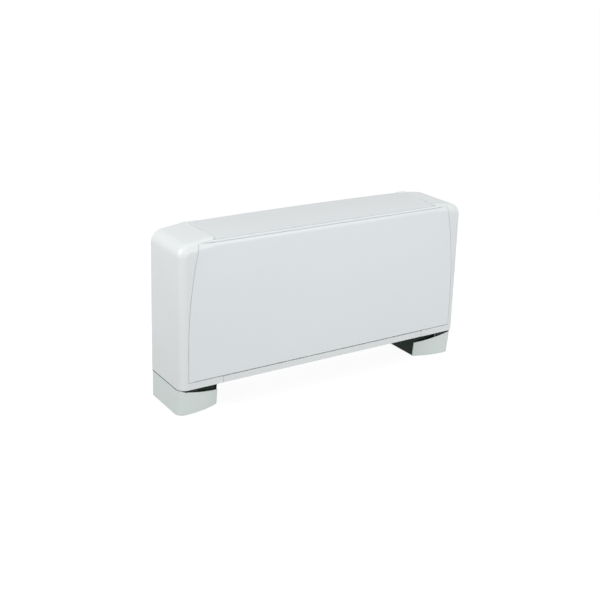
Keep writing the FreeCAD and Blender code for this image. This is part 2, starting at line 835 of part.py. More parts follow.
def bolt_holes(name, sign, span):
    """Holes for the bolts between frame plate and foot bracket on one side."""
    holes = []
    for end, y in BOLT_ROWS.items():
        holes.append(rod(f"{name}_{end}_bolt_hole", "z", (f"{sign} * bolt_x", y), SCREW_HOLE, past(span)))
    return holes


def build_frame_plates():
    """Galvanised side plates with a foot flange and openings for pipes and cables."""
    deep = ("frame_front", "frame_rear")
    flange_y = ("frame_front + plate_flange_front", "bracket_y_high")
    flange_z = ("base", "base + frame_sheet")
    ways = plate_ways()
    for side, sign in SIDES.items():
        sheet_x = on_side(sign, "plate_in", "plate_out")
        flange_x = on_side(sign, "plate_in", "plate_out + plate_flange")
        upright = block(f"{side}_upright", sheet_x, deep, ("base", "seat"))
        flange = block(f"{side}_flange", flange_x, flange_y, flange_z)
        blank = fuse(f"{side}_plate_blank", upright, flange)
        holes = bolt_holes(f"{side}_plate", sign, flange_z)
        for name, spot, radius in ways[side]:
            holes.append(rod(f"{name}_way", "x", spot, radius, past(sheet_x)))
        node(cut(f"{side}_plate", blank, *holes), f"{side}_frame_plate")


def build_rear_panel():
    """Rear panel with side flanges that are screwed to the wall."""
    half = "(plate_out + rear_panel_flange)"
    thick = ("frame_rear", "rear")
    panel = block("rear_sheet", (f"-{half}", half), thick, ("base + rear_panel_lift", "seat_top"))
    levels = {"low": "base + wall_hole_low", "high": "seat_top - wall_hole_top"}
    holes = []
    for side, sign in SIDES.items():
        for level, z in levels.items():
            spot = (f"{sign} * ({half} - wall_hole_inset)", z)
            holes.append(rod(f"{side}_{level}_wall_hole", "y", spot, "wall_hole_radius", past(thick)))
    node(cut("rear_panel_cut", panel, *holes), "rear_panel")


def outlet_span(sign):
    """Width limits of a fan outlet."""
    half = "(scroll_half - scroll_wall)"
    return (f"{sign} * fan_centre - {half}", f"{sign} * fan_centre + {half}")


def outlet_depth():
    """Depth limits of a fan outlet."""
    return ("fan_y - scroll_step / 2", "fan_y + scroll_step / 2 + scroll_radius + 2 * scroll_step")


def build_cross_members():
    """Fan deck, intake rails and front beam between the side plates."""
    width = ("-plate_in", "plate_in")
    deck_z = ("deck", "deck_top")
    deck = block("deck_sheet", width, ("frame_front", "frame_rear"), deck_z)
    outlets = []
    for side, sign in SIDES.items():
        outlets.append(block(f"{side}_outlet", outlet_span(sign), outlet_depth(), past(deck_z)))
    node(cut("deck_cut", deck, *outlets), "fan_deck")
    rail_z = ("intake", "intake + frame_sheet")
    front_y = ("frame_front", "frame_front + intake_rail")
    node(block("intake_front", width, front_y, rail_z), "intake_front_rail")
    rear_y = ("frame_rear - intake_rail", "frame_rear")
    node(block("intake_rear", width, rear_y, rail_z), "intake_rear_rail")
    beam_y = ("frame_front - frame_sheet", "frame_front")
    node(block("beam", width, beam_y, ("intake", "intake + beam_height")), "front_beam")


def build_filter():
    """Filter drawer with its mesh, and the rails that it slides on."""
    drawer = doc.addObject("PartDesign::Body", "drawer")
    width = ("-filter_half", "filter_half")
    inner_front = "front + filter_front"
    frame_z = ("filter_low", "filter_low + filter_thickness")
    pad(drawer, "z", frame_z, rect(width, (inner_front, "filter_rear")))
    clear = "(2 * (filter_half - filter_rim) - (filter_window_count - 1) * filter_bar)"
    pane = f"{clear} / filter_window_count"
    window_x = ("-filter_half + filter_rim", f"-filter_half + filter_rim + {pane}")
    window_y = (f"{inner_front} + filter_rim", "filter_rear - filter_rim")
    window = pocket(drawer, "z", past(frame_z), rect(window_x, window_y))
    row(drawer, window, "x", f"({pane} + filter_bar) * (filter_window_count - 1)", "filter_window_count")
    face_z = ("base + filter_front_lift", "panel_bottom - seam_gap")
    pad(drawer, "y", ("front", f"{inner_front} + filter_front"), rect(width, face_z))
    node(drawer, "filter_frame")
    mesh_x = ("-filter_half + filter_rim / 2", "filter_half - filter_rim / 2")
    mesh_y = (f"{inner_front} + filter_front", "filter_rear - filter_rim / 2")
    node(block("mesh", mesh_x, mesh_y, ("filter_low - filter_mesh", "filter_low")), "filter_mesh")
    deep = ("front + 2 * filter_front + rail_front_setback", "filter_rear + rail_front_setback")
    low, web_out = "base + rail_drop", "rail_web + frame_sheet"
    web = block("rail_web_sheet", ("rail_web", web_out), deep, (low, "intake"))
    lip = block("rail_lip_sheet", ("rail_web - rail_lip", web_out), deep, (low, f"{low} + frame_sheet"))
    top_x = ("rail_web", "rail_web + rail_top")
    top = block("rail_top_sheet", top_x, deep, ("intake - frame_sheet", "intake"))
    rail = node(fuse("right_rail", web, lip, top), "right_filter_rail")
    node(mirror("left_rail", rail), "left_filter_rail")


def foot_outline():
    """Section of a right foot cover's wall, square to its lean: straight side, round corner, swept front."""
    turn, y, tail = "foot_out - foot_corner", "front + foot_front_setback", "foot_rear + 2 * foot_lean"
    sweep = f"((({turn} - foot_in) ^ 2 + foot_sweep ^ 2) / (2 * foot_sweep))"
    return [
        ("foot_out", tail),
        ("foot_out - foot_wall", tail),
        ("foot_out - foot_wall", f"{y} + foot_corner", "foot_corner - foot_wall", -1),
        (turn, f"{y} + foot_wall", sweep, -1),
        ("foot_in", f"{y} + foot_sweep + foot_wall"),
        ("foot_in", f"{y} + foot_sweep", sweep, 1),
        (turn, y, "foot_corner", 1),
        ("foot_out", f"{y} + foot_corner"),
    ]


def build_foot_covers():
    """Moulded foot covers, leaning forward and cut down towards the middle of the unit."""
    shell = doc.addObject("PartDesign::Body", "foot_shell")
    wall = pad(shell, "z", ("-2 * foot_lean", "foot_top + 2 * foot_lean"), foot_outline())
    sketch = wall.Profile[0]
    lean = FreeCAD.Rotation(FreeCAD.Vector(1, 0, 0), 1)
    sketch.AttachmentOffset = FreeCAD.Placement(FreeCAD.Vector(), lean)
    bind(sketch, {"AttachmentOffset.Rotation.Angle": "atan(foot_lean / foot_top)"})
    slope_end = "foot_out - foot_corner / 4"
    slope = [
        (slope_end, "2 * foot_top"),
        ("foot_in - overrun", "2 * foot_top"),
        ("foot_in - overrun", "foot_top - foot_slope_drop"),
        ("foot_out - foot_corner", "foot_top - foot_corner_drop"),
        (slope_end, "foot_top"),
    ]
    pocket(shell, "y", ("2 * front", "0"), slope)
    tab_z = ("tab_low", "tab_top")
    tab = rect(("tab_in", "foot_out - foot_wall / 2"), ("-foot_tab / 2", "foot_tab / 2"))
    pad(shell, "z", tab_z, tab)
    pocket(shell, "z", past(tab_z), (("tab_x", "0"), SCREW_HOLE))
    zone_x = past(("foot_in", "foot_out"))
    zone = block("foot_zone", zone_x, ("2 * front", "foot_rear"), ("foot_floor_gap", "foot_top"))
    cover = node(common("right_cover", shell, zone), "right_foot_cover")
    node(mirror("left_cover", cover), "left_foot_cover")


def build_foot_brackets():
    """Folded steel brackets that carry the frame, each with an arm out to the end cap."""
    web = doc.addObject("PartDesign::Body", "bracket_web")
    web_x = ("bracket_in", "bracket_in + bracket_sheet")
    side = [
        ("bracket_face", "pad_height"),
        ("bracket_y_high", "pad_height"),
        ("bracket_y_high", "base"),
        ("bracket_face - (base - pad_height) * foot_lean / foot_top", "base"),
    ]
    pad(web, "x", web_x, side)
    face_x = ("bracket_in", "bracket_out - bracket_face_inset")
    face_y = ("bracket_face", "bracket_face + bracket_sheet")
    top_y = ("bracket_y_low", "bracket_y_high")
    floor_z, top_z = ("pad_height", "tab_low"), ("bracket_z", "base")
    wall = "half_width - end_wall"
    arm_end = "bracket_y_high - bracket_arm_setback"
    arm_y = (f"{arm_end} - bracket_arm_width", arm_end)
    lip_x = (f"{wall} - bracket_sheet", wall)
    steel = fuse(
        "bracket_steel",
        web,
        block("bracket_front_plate", face_x, face_y, ("pad_height", "bracket_z")),
        block("bracket_floor", ("bracket_in", "bracket_out"), ("bracket_face", "bracket_y_high"), floor_z),
        block("bracket_top", ("bracket_in", "bolt_x + bracket_bolt_edge"), top_y, top_z),
        block("bracket_arm", ("bracket_in", wall), arm_y, top_z),
        block("bracket_lip", lip_x, arm_y, ("bracket_z", "base + bracket_lip")),
    )
    holes = bolt_holes("bracket", "1", top_z)
    for end, sign in {"front": "-1", "rear": "1"}.items():
        spot = ("floor_x", f"bracket_middle + {sign} * floor_hole_pitch / 2")
        holes.append(rod(f"{end}_floor_hole", "z", spot, "floor_hole_radius", past(floor_z)))
    holes.append(rod("tab_hole", "z", ("tab_x", "0"), SCREW_HOLE, past(floor_z)))
    bracket = node(cut("right_bracket", steel, *holes), "right_foot_bracket")
    node(mirror("left_bracket", bracket), "left_foot_bracket")


def build_foot_hardware():
    """Rubber pads under the brackets, and the screws and bolts of the feet."""
    pad_rows = {"front": "bracket_y_low + pad_end_inset", "rear": "bracket_y_high - pad_end_inset"}
    pads, screws, bolts = [], [], []
    for side, sign in SIDES.items():
        pad_x = on_side(sign, "pad_x - pad_half", "pad_x + pad_half")
        for end, y in pad_rows.items():
            pad_y = (f"{y} - pad_half", f"{y} + pad_half")
            pads.append(block(f"{side}_{end}_pad", pad_x, pad_y, ("0", "pad_height")))
        tab_top = (f"{sign} * tab_x", "0", "tab_top")
        screws.append(screw(f"{side}_cover_screw", tab_top, "2 * bracket_sheet + screw_point"))
        for end, y in BOLT_ROWS.items():
            flange_top = (f"{sign} * bolt_x", y, "base + frame_sheet")
            length = "frame_sheet + bracket_sheet + bolt_tail"
            bolts.append(screw(f"{side}_{end}_frame_bolt", flange_top, length))
    node(group("pads", *pads), "foot_pads")
    node(group("cover_screws", *screws), "foot_cover_screws")
    node(group("bolts", *bolts), "frame_bolts")


def scroll_outline(wall, top):
    """Three widening arcs round the fan and the straight walls of its outlet."""
    y, z, radius = "fan_y - scroll_step / 2", "fan_z - scroll_step / 2", f"(scroll_radius + {wall})"
    right = f"fan_y + scroll_step / 2 + {radius} + 2 * scroll_step"
    return [
        (f"{y} - {wall}", f"{z} + sqrt({radius} ^ 2 - {wall} ^ 2)", radius, 1),
        (f"{y} - {radius}", z, f"{radius} + scroll_step", 1),
        (f"{y} + scroll_step", f"{z} - {radius} - scroll_step", f"{radius} + 2 * scroll_step", 1),
        (right, "fan_z + scroll_step / 2"),
        (right, top),
        (f"{y} - {wall}", top),
    ]


def build_scrolls():
    """Scroll housings, each split at the shaft into a lower and an upper half."""
    scroll = doc.addObject("PartDesign::Body", "scroll")
    span = ("fan_centre - scroll_half", "fan_centre + scroll_half")
    pad(scroll, "x", span, scroll_outline("scroll_wall", "deck"))
    pocket(scroll, "x", outlet_span("1"), scroll_outline("0", "deck + overrun"))
    pocket(scroll, "x", past(span), (("fan_y", "fan_z"), "inlet_radius"))
    for half, levels in {"lower": ("base", "fan_z"), "upper": ("fan_z", "deck_top")}.items():
        zone = block(f"{half}_zone", span, ("front", "rear"), levels)
        shell = node(common(f"right_{half}", scroll, zone), f"right_scroll_{half}")
        node(mirror(f"left_{half}", shell), f"left_scroll_{half}")


def blade_corner(depth, angle):
    """Corner of a fan blade's section, at a depth in from the rim and an angle round the shaft."""
    reach = f"(impeller_radius - {depth})"
    return (f"{reach} * cos({angle})", f"{reach} * sin({angle})")


def build_impellers():
    """Double inlet impellers with forward leaning folded blades, on the motor's shaft."""
    wheel = doc.addObject("PartDesign::Body", "wheel")
    axis = ("0", "0")
    pad(wheel, "x", ("-impeller_disc / 2", "impeller_disc / 2"), (axis, "impeller_radius"))
    hub_x = ("-hub_width / 2", "hub_width / 2")
    pad(wheel, "x", hub_x, (axis, "hub_radius"))
    pocket(wheel, "x", past(hub_x), (axis, "shaft_radius + hub_clearance"))
    line = [("blade_inner", "0"), ("blade_fold", "blade_fold_angle"), ("blade_tip", "blade_tip_angle")]
    section = [blade_corner(depth, angle) for depth, angle in line]
    section += [blade_corner(depth, f"({angle} + blade_thickness_angle)") for depth, angle in line[::-1]]
    reach = "(impeller_width / 2 - impeller_ring_width / 2)"
    blade = pad(wheel, "x", (f"-{reach}", reach), section)
    rim = [(axis, "impeller_radius"), (axis, "impeller_radius - impeller_ring")]
    for sign in SIDES.values():
        span = on_side(sign, "impeller_width / 2 - impeller_ring_width", "impeller_width / 2")
        pad(wheel, "x", span, *rim)
    crown = wheel.newObject("PartDesign::PolarPattern", "wheel_crown")
    crown.Originals = [blade]
    crown.Axis = (origin_part(wheel, "X_Axis"), [""])
    crown.Angle = 360
    bind(crown, {"Occurrences": "blade_count"})
    wheel.Tip = crown
    doc.recompute()
    bind(wheel, {"Placement.Base.x": "fan_centre", "Placement.Base.y": "fan_y", "Placement.Base.z": "fan_z"})
    node(wheel, "right_impeller")
    node(mirror("left_wheel", wheel), "left_impeller")
    end = "(fan_centre + hub_width / 2 + shaft_end)"
    node(rod("shaft", "x", ("fan_y", "fan_z"), "shaft_radius", (f"-{end}", end)), "fan_shaft")


def build_motor():
    """Double shaft motor on rubber rings in a cradle under the fan deck."""
    axis = ("fan_y", "fan_z")
    steps = {
        "motor_radius": "(motor_length / 2)",
        "motor_bell_radius": "motor_shoulder",
        "motor_neck_radius": "motor_nose",
    }
    drums = [rod(f"{radius}_drum", "x", axis, radius, (f"-{half}", half)) for radius, half in steps.items()]
    bore = rod("motor_bore", "x", axis, "shaft_radius + motor_bore_gap", past(("-motor_nose", "motor_nose")))
    arm = "(motor_shoulder + motor_neck / 2)"
    hold = "motor_neck_radius + rubber_ring"
    arm_y = ("fan_y - cradle_half", "fan_y + cradle_half")
    seats, bearings, arms, rings, holes = [], [], [], [], []
    for side, sign in SIDES.items():
        bearing_x = on_side(sign, "motor_nose - bearing_width", "motor_nose")
        seats.append(rod(f"{side}_bearing_seat", "x", axis, "bearing_radius", bearing_x))
        radii = ("bearing_radius", "shaft_radius + bearing_clearance")
        bearings.append(ring(f"{side}_bearing", "x", axis, radii, bearing_x))
        sheet_x = on_side(sign, f"{arm} - cradle_sheet / 2", f"{arm} + cradle_sheet / 2")
        ring_x = (f"{sheet_x[0]} - rubber_overhang", f"{sheet_x[1]} + rubber_overhang")
        arms.append(block(f"{side}_arm", sheet_x, arm_y, ("fan_z - cradle_tail", "deck")))
        rings.append(ring(f"{side}_rubber", "x", axis, (hold, "motor_neck_radius"), ring_x))
        holes.append(rod(f"{side}_arm_hole", "x", axis, hold, ring_x))
    node(cut("motor", fuse("motor_drums", *drums), bore, *seats), "fan_motor")
    node(group("bearings", *bearings), "motor_bearings")
    bridge = block("bridge", (f"-{arm}", arm), arm_y, ("deck - cradle_sheet", "deck"))
    node(cut("cradle", fuse("cradle_steel", *arms, bridge), *holes), "motor_cradle")
    node(group("rubbers", *rings), "motor_rubber_rings")


def tilt(thing):
    """Lean a coil piece back about the coil's middle."""
    thing.Placement = FreeCAD.Placement(FreeCAD.Vector(), FreeCAD.Rotation(FreeCAD.Vector(-1, 0, 0), 1))
    bind(thing, {"Placement.Base.y": "coil_y", "Placement.Base.z": "coil_z"})
    return bind(thing, {"Placement.Rotation.Angle": "coil_tilt_angle"})


def bend_row(name, tube, count):
    """Row of folded tube bends outside the right end plate, from a tube counted from the lowest."""
    body = doc.addObject("PartDesign::Body", name)
    depth, radius, mouth = "tube_pitch / 2", "tube_pitch / 2", "coil_end + tube_run"
    low = f"({tube} * tube_pitch - tube_end)"
    section = []
    for side in range(int(number("bend_side_count"))):
        turn = f"{side} * 360 / bend_side_count"
        section.append((f"{depth} + tube_radius * cos({turn})", f"{low} + tube_radius * sin({turn})"))
    path = [("coil_end", low)]
    for fold in range(int(number("bend_fold_count")) + 1):
        turn = f"{fold} * 180 / bend_fold_count"
        path.append((f"{mouth} + {radius} * sin({turn})", f"{low} + {radius} * (1 - cos({turn}))"))
    path.append(("coil_end", f"{low} + tube_pitch"))
    pipe = body.newObject("PartDesign::AdditivePipe", f"{name}_pipe")
    pipe.Profile = sketch_at(body, "x", "coil_end", section)
    pipe.Spine = sketch_at(body, "y", depth, path, closed=False)
    pipe.Transition = "Right corner"
    doc.recompute()
    row(body, pipe, "z", f"2 * tube_pitch * ({count} - 1)", count)
    return group(f"{name}_pair", body, mirror(f"{name}_twin", body, (0, 1, 0)))


def build_coil():
    """Tilted coil: finned block, end plates and return bends."""
    fins = doc.addObject("PartDesign::Body", "fins")
    side, reach = "coil_thickness / 2", "(coil_rim - coil_margin)"
    tall = (f"-{reach}", reach)
    pad(fins, "x", ("-coil_half", "coil_half"), rect((f"-{side}", side), tall))
    pitch = "2 * coil_half / fin_count"
    slot_x = ("-coil_half + fin_thickness / 2", f"-coil_half + {pitch} - fin_thickness / 2")
    front = rect(slot_x, (f"-{side} - overrun", "-fin_core / 2"))
    back = rect(slot_x, ("fin_core / 2", f"{side} + overrun"))
    slot = pocket(fins, "z", past(tall), front, back)
    row(fins, slot, "x", f"{pitch} * (fin_count - 1)", "fin_count")
    node(tilt(fins), "coil_fins")
    wide = ("-coil_side", "coil_side")
    face = block("coil_face", ("coil_half", "coil_end"), wide, ("-coil_rim", "coil_rim"))
    leg_x = ("coil_half", "plate_in")
    low_leg = block("coil_low_leg", leg_x, wide, ("-coil_rim", "-coil_rim + frame_sheet"))
    high_leg = block("coil_high_leg", leg_x, wide, ("coil_rim - frame_sheet", "coil_rim"))
    plate = node(tilt(fuse("right_coil", face, low_leg, high_leg)), "right_coil_plate")
    node(mirror("left_coil", plate), "left_coil_plate")
    right = bend_row("right_bends", "0", "tube_count / 2")
    left = mirror("left_bends_across", bend_row("left_bends", "1", "tube_count / 2 - 1"))
    node(tilt(group("bends", right, left)), "coil_return_bends")


def build_connections():
    """Headers on the coil's end tubes, with water unions and an air vent."""
    spot = ("-plate_out - vent_inset", "0")
    top = "tube_end + union_radius"
    stem_z = (f"{top} - vent_inset", f"{top} + vent_height")
    heads, unions = [], []
    for level, sign in {"lower": "-1", "upper": "1"}.items():
        height = f"{sign} * tube_end"
        barrel_y = ("-header_length / 2", "header_length / 2")
        pieces = [rod(f"{level}_barrel", "y", ("-header_x", height), "header_radius", barrel_y)]
        pieces.append(rod(f"{level}_neck", "x", ("0", height), "union_bore", ("-union_root", "-header_x")))
        for file, way in {"front": "-1", "rear": "1"}.items():
            stub = (f"{way} * tube_pitch / 2", height)
            pieces.append(rod(f"{level}_{file}_stub", "x", stub, "tube_radius", ("-header_x", "-coil_end")))
        heads.append(fuse(f"{level}_header", *pieces))
        brass_x = ("-union_mouth", "-union_root")
        brass = hexagon(f"{level}_brass", "x", ("0", height), "union_radius", brass_x)
        bore_x = ("-union_mouth - overrun", "-union_mouth + union_depth")
        tools = [rod(f"{level}_bore", "x", ("0", height), "union_bore", bore_x)]
        if level == "upper":
            tools.append(rod("vent_seat", "z", spot, "vent_stem_radius", stem_z))
        unions.append(cut(f"{level}_union", brass, *tools))
    node(tilt(group("headers", *heads)), "coil_headers")
    node(tilt(group("unions", *unions)), "water_unions")
    stem = rod("vent_stem", "z", spot, "vent_stem_radius", stem_z)
    cap = hexagon("vent_cap", "z", spot, "vent_radius", (top, f"{top} + vent_height"))
    node(tilt(fuse("vent", stem, cap)), "air_vent")


def build_drain():
    """Drain pan under the coil, its spout and the tray below the unions."""
    end = "(plate_in - pan_end_gap)"
    deep = ("pan_front", "pan_front + pan_depth")
    pan = hollow("pan", (f"-{end}", end), deep, ("deck_top", "pan_top"), "pan_wall", "z")
    spot = ("spout_y", "spout_z")
    root = f"-{end} + pan_wall"
    seat = rod("spout_seat", "x", spot, "spout_radius", (f"-{end} - overrun", root))
    node(cut("pan_cut", pan, seat), "drain_pan")
    span = ("-plate_out - spout_reach", root)
    node(ring("spout", "x", spot, ("spout_radius", "spout_bore"), span), "drain_spout")
    tray_x, tray_y = ("-plate_out - tray_reach", "-plate_out"), ("-tray_depth / 2", "tray_depth / 2")
    tray = hollow("tray", tray_x, tray_y, ("tray_low", "tray_top"), "pan_wall", "z")
    drop = ("-plate_out - tray_reach / 2", "0")
    tail = rod("tray_tail", "z", drop, "spout_radius", ("tray_low - tray_spout", "tray_low + pan_wall"))
    drain = rod("tray_drain", "z", drop, "spout_bore", ("tray_low - tray_spout - overrun", "tray_top"))
    node(cut("tray_cut", fuse("tray_blank", tray, tail), drain), "auxiliary_tray")


def build_electrics():
    """Terminal box on the right frame plate, with terminal block, cover, gland and capacitor."""
    deep, tall = ("-box_depth / 2", "box_depth / 2"), ("box_low", "box_low + box_height")
    case = hollow("case", ("plate_out", "box_out"), deep, tall, "box_wall", "x")
    spot = ("plate_out + box_reach / 2", "0")
    entry = rod("entry", "z", spot, "gland_bore", past(("box_low", "box_low + box_wall")))
    passage_x = past(("plate_out", "plate_out + box_wall"))
    passage = rod("passage", "x", ("0", "box_middle"), "gland_radius", passage_x)
    node(cut("case_cut", case, entry, passage), "terminal_box")
    node(block("case_lid", ("box_out", "box_out + box_lid"), deep, tall), "terminal_box_cover")
    bank_x = ("plate_out + box_wall", "plate_out + box_wall + block_reach")
    bank_z = ("box_low + box_wall", "box_low + box_wall + block_height")
    node(block("bank", bank_x, ("-block_depth / 2", "block_depth / 2"), bank_z), "terminal_block")
    gland_z = ("box_low - gland_reach", "box_low")
    node(ring("gland", "z", spot, ("gland_radius", "gland_bore"), gland_z, hexagon), "cable_gland")
    can_x = ("plate_out", "plate_out + capacitor_reach")
    node(rod("can", "x", ("0", "seat - capacitor_drop"), "capacitor_radius", can_x), "capacitor")


def main():
    """Build every sub-part, check the document and write one file for each sub-part."""
    bind(places, PLACES)
    doc.recompute()
    build_end_caps()
    build_front_panel()
    build_flap()
    build_grille()
    build_frame_plates()
    build_rear_panel()
    build_cross_members()
    build_filter()
    build_foot_covers()
    build_foot_brackets()
    build_foot_hardware()
    build_scrolls()
    build_motor()
    build_coil()
    build_connections()
    build_drain()
    build_electrics()
    build_impellers()
    doc.recompute()
    for thing in doc.Objects:
        if "Invalid" in thing.State or "Error" in thing.State:
            raise RuntimeError(f"{thing.Name} did not rebuild")
    os.makedirs("parts", exist_ok=True)
    for thing in NODES:
        if thing.Shape.isNull() or not thing.Shape.isValid():
            raise RuntimeError(f"{thing.Label} has no valid shape")
        thing.Shape.exportStep(f"parts/{thing.Label}.step")


main()
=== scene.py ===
"""Looks of a floor standing fan coil unit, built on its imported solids.

Lengths are metres, unless a name ends in mm, px or deg.
"""

import logging
import math
from dataclasses import dataclass, field
from enum import Enum
from typing import Any, Optional

import bmesh
import bpy
from mathutils import Euler, Matrix, Vector


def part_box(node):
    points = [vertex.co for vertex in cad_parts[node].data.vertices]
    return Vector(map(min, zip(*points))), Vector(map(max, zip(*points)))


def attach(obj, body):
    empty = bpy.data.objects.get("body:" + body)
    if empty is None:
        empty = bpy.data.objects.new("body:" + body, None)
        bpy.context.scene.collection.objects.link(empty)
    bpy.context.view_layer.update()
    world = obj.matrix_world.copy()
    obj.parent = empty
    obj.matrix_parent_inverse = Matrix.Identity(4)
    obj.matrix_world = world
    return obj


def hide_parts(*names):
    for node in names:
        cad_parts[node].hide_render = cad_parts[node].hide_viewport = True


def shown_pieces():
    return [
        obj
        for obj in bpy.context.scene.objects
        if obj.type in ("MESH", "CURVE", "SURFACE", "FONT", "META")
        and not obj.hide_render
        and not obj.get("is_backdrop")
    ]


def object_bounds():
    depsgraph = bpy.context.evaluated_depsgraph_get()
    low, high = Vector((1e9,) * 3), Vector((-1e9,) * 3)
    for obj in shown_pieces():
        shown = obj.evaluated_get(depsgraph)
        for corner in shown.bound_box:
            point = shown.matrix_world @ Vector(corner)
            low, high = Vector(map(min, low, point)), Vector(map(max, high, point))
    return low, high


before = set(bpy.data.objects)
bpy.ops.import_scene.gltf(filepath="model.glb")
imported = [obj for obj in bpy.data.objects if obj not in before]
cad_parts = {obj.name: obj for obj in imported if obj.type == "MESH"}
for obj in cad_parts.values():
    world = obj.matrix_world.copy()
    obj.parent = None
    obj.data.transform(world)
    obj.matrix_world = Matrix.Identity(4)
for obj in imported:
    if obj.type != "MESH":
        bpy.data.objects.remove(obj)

LOG = logging.getLogger("fan_coil")
MM = 0.001
# Attribute in which a CAD node's mesh holds its own normals
CAD_NORMALS = "custom_normal"
# Sockets of a Mix node's factor, colours and result; by name they would be those of another data type
MIX_FACTOR, MIX_FIRST, MIX_SECOND, MIX_RESULT = 0, 6, 7, 2


def linear(colour: str) -> tuple[float, float, float, float]:
    """Turn an sRGB colour into linear light.

    Args:
        colour: Six hex digits.

    Returns:
        Linear red, green and blue, and full alpha.
    """
    parts = [int(colour[start:start + 2], 16) / 255 for start in (0, 2, 4)]
    # The sRGB curve: a straight toe, then a power
    red, green, blue = (
        part / 12.92 if part <= 0.04045 else ((part + 0.055) / 1.055) ** 2.4 for part in parts
    )
    return (red, green, blue, 1.0)


def darkened(colour: tuple[float, ...], share: float) -> tuple[float, ...]:
    """Give a share of a linear colour's light, with full alpha."""
    return (*(part * share for part in colour[:3]), 1.0)


def per_metre(width_mm: float) -> float:
    """Give the texture scale at which a pattern is this wide."""
    return 1 / (width_mm * MM)


def add_node(
    tree: bpy.types.NodeTree,
    kind: str,
    settings: Optional[dict[str, Any]] = None,
    inputs: Optional[dict[Any, Any]] = None,
) -> bpy.types.Node:
    """Add a node with its settings, values and links.

    Args:
        tree: Tree that takes the node.
        kind: Blender's name for the type of node.
        settings: Values of the node's own properties.
        inputs: Values of its inputs, or sockets to link to them, by name or number.

    Returns:
        The new node.
    """
    node = tree.nodes.new(kind)
    for name, value in (settings or {}).items():
        setattr(node, name, value)
    for key, value in (inputs or {}).items():
        if isinstance(value, bpy.types.NodeSocket):
            tree.links.new(value, node.inputs[key])
        else:
            node.inputs[key].default_value = value
    return node


def add_object(name: str, data: bpy.types.ID) -> bpy.types.Object:
    """Put a mesh, lamp or camera in the scene, at the origin.

    Args:
        name: The new object's name.
        data: What it shows.

    Returns:
        The object.
    """
    thing = bpy.data.objects.new(name, data)
    bpy.context.scene.collection.objects.link(thing)
    return thing


class Gloss(Enum):
    """Roughness that a way of making a surface leaves."""

    POLISHED = 0.25
    SATIN = 0.38
    MATT = 0.58
    DULL = 0.82


@dataclass(frozen=True)
class Finish:
    """A surface as it was made: what it is called, its colour and its gloss."""

    name: str
    colour: str
    gloss: Gloss

    def surface(self, tree: bpy.types.NodeTree, place: bpy.types.NodeSocket) -> dict[str, Any]:
        """Add the finish's pattern.

        Args:
            tree: The material's tree.
            place: Object coordinates.

        Returns:
            Values and links for the shader's inputs.
        """
        raise NotImplementedError

    def material(self) -> bpy.types.Material:
        """Make the material, or find it where a piece has it already.

        Returns:
            The finish's one material.
        """
        known = bpy.data.materials.get(self.name)
        if known:
            return known
        material = bpy.data.materials.new(self.name)
        material.use_nodes = True
        tree = material.node_tree
        tree.nodes.clear()
        place = add_node(tree, "ShaderNodeTexCoord").outputs["Object"]
        shader = add_node(tree, "ShaderNodeBsdfPrincipled", inputs=self.surface(tree, place))
        add_node(tree, "ShaderNodeOutputMaterial", inputs={"Surface": shader.outputs["BSDF"]})
        return material


@dataclass(frozen=True)
class Moulding(Finish):
    """Moulded plastic or rubber: an even colour with broad faint clouds and a fine eroded grain."""

    # A moulding's grain is about 0.5 mm; it is drawn coarser, so that it shows at all.
    grain_mm: float = 2.5
    grain_depth_mm: float = 0.03
    cloud_mm: float = 160.0
    cloud_share: float = 0.96
    gloss_spread: float = 0.05
    ior: float = 1.53

    def surface(self, tree: bpy.types.NodeTree, place: bpy.types.NodeSocket) -> dict[str, Any]:
        """Add clouds to the colour, and grain to the height and gloss.

        Args:
            tree: The material's tree.
            place: Object coordinates.

        Returns:
            Values and links for the shader's inputs.
        """
        full = linear(self.colour)
        drift = {"Vector": place, "Scale": per_metre(self.cloud_mm)}
        cloud = add_node(tree, "ShaderNodeTexNoise", inputs=drift)
        mix = {
            MIX_FACTOR: cloud.outputs[0],
            MIX_FIRST: full,
            MIX_SECOND: darkened(full, self.cloud_share),
        }
        tone = add_node(tree, "ShaderNodeMix", {"data_type": "RGBA"}, mix)
        pits = {"Vector": place, "Scale": per_metre(self.grain_mm)}
        grain = add_node(tree, "ShaderNodeTexNoise", inputs=pits)
        height = {"Height": grain.outputs[0], "Distance": self.grain_depth_mm * MM}
        bump = add_node(tree, "ShaderNodeBump", inputs=height)
        spread = {
            "Value": grain.outputs[0],
            "To Min": self.gloss.value - self.gloss_spread,
            "To Max": self.gloss.value + self.gloss_spread,
        }
        rough = add_node(tree, "ShaderNodeMapRange", inputs=spread)
        return {
            "Base Color": tone.outputs[MIX_RESULT],
            "Roughness": rough.outputs[0],
            "IOR": self.ior,
            "Normal": bump.outputs[0],
        }


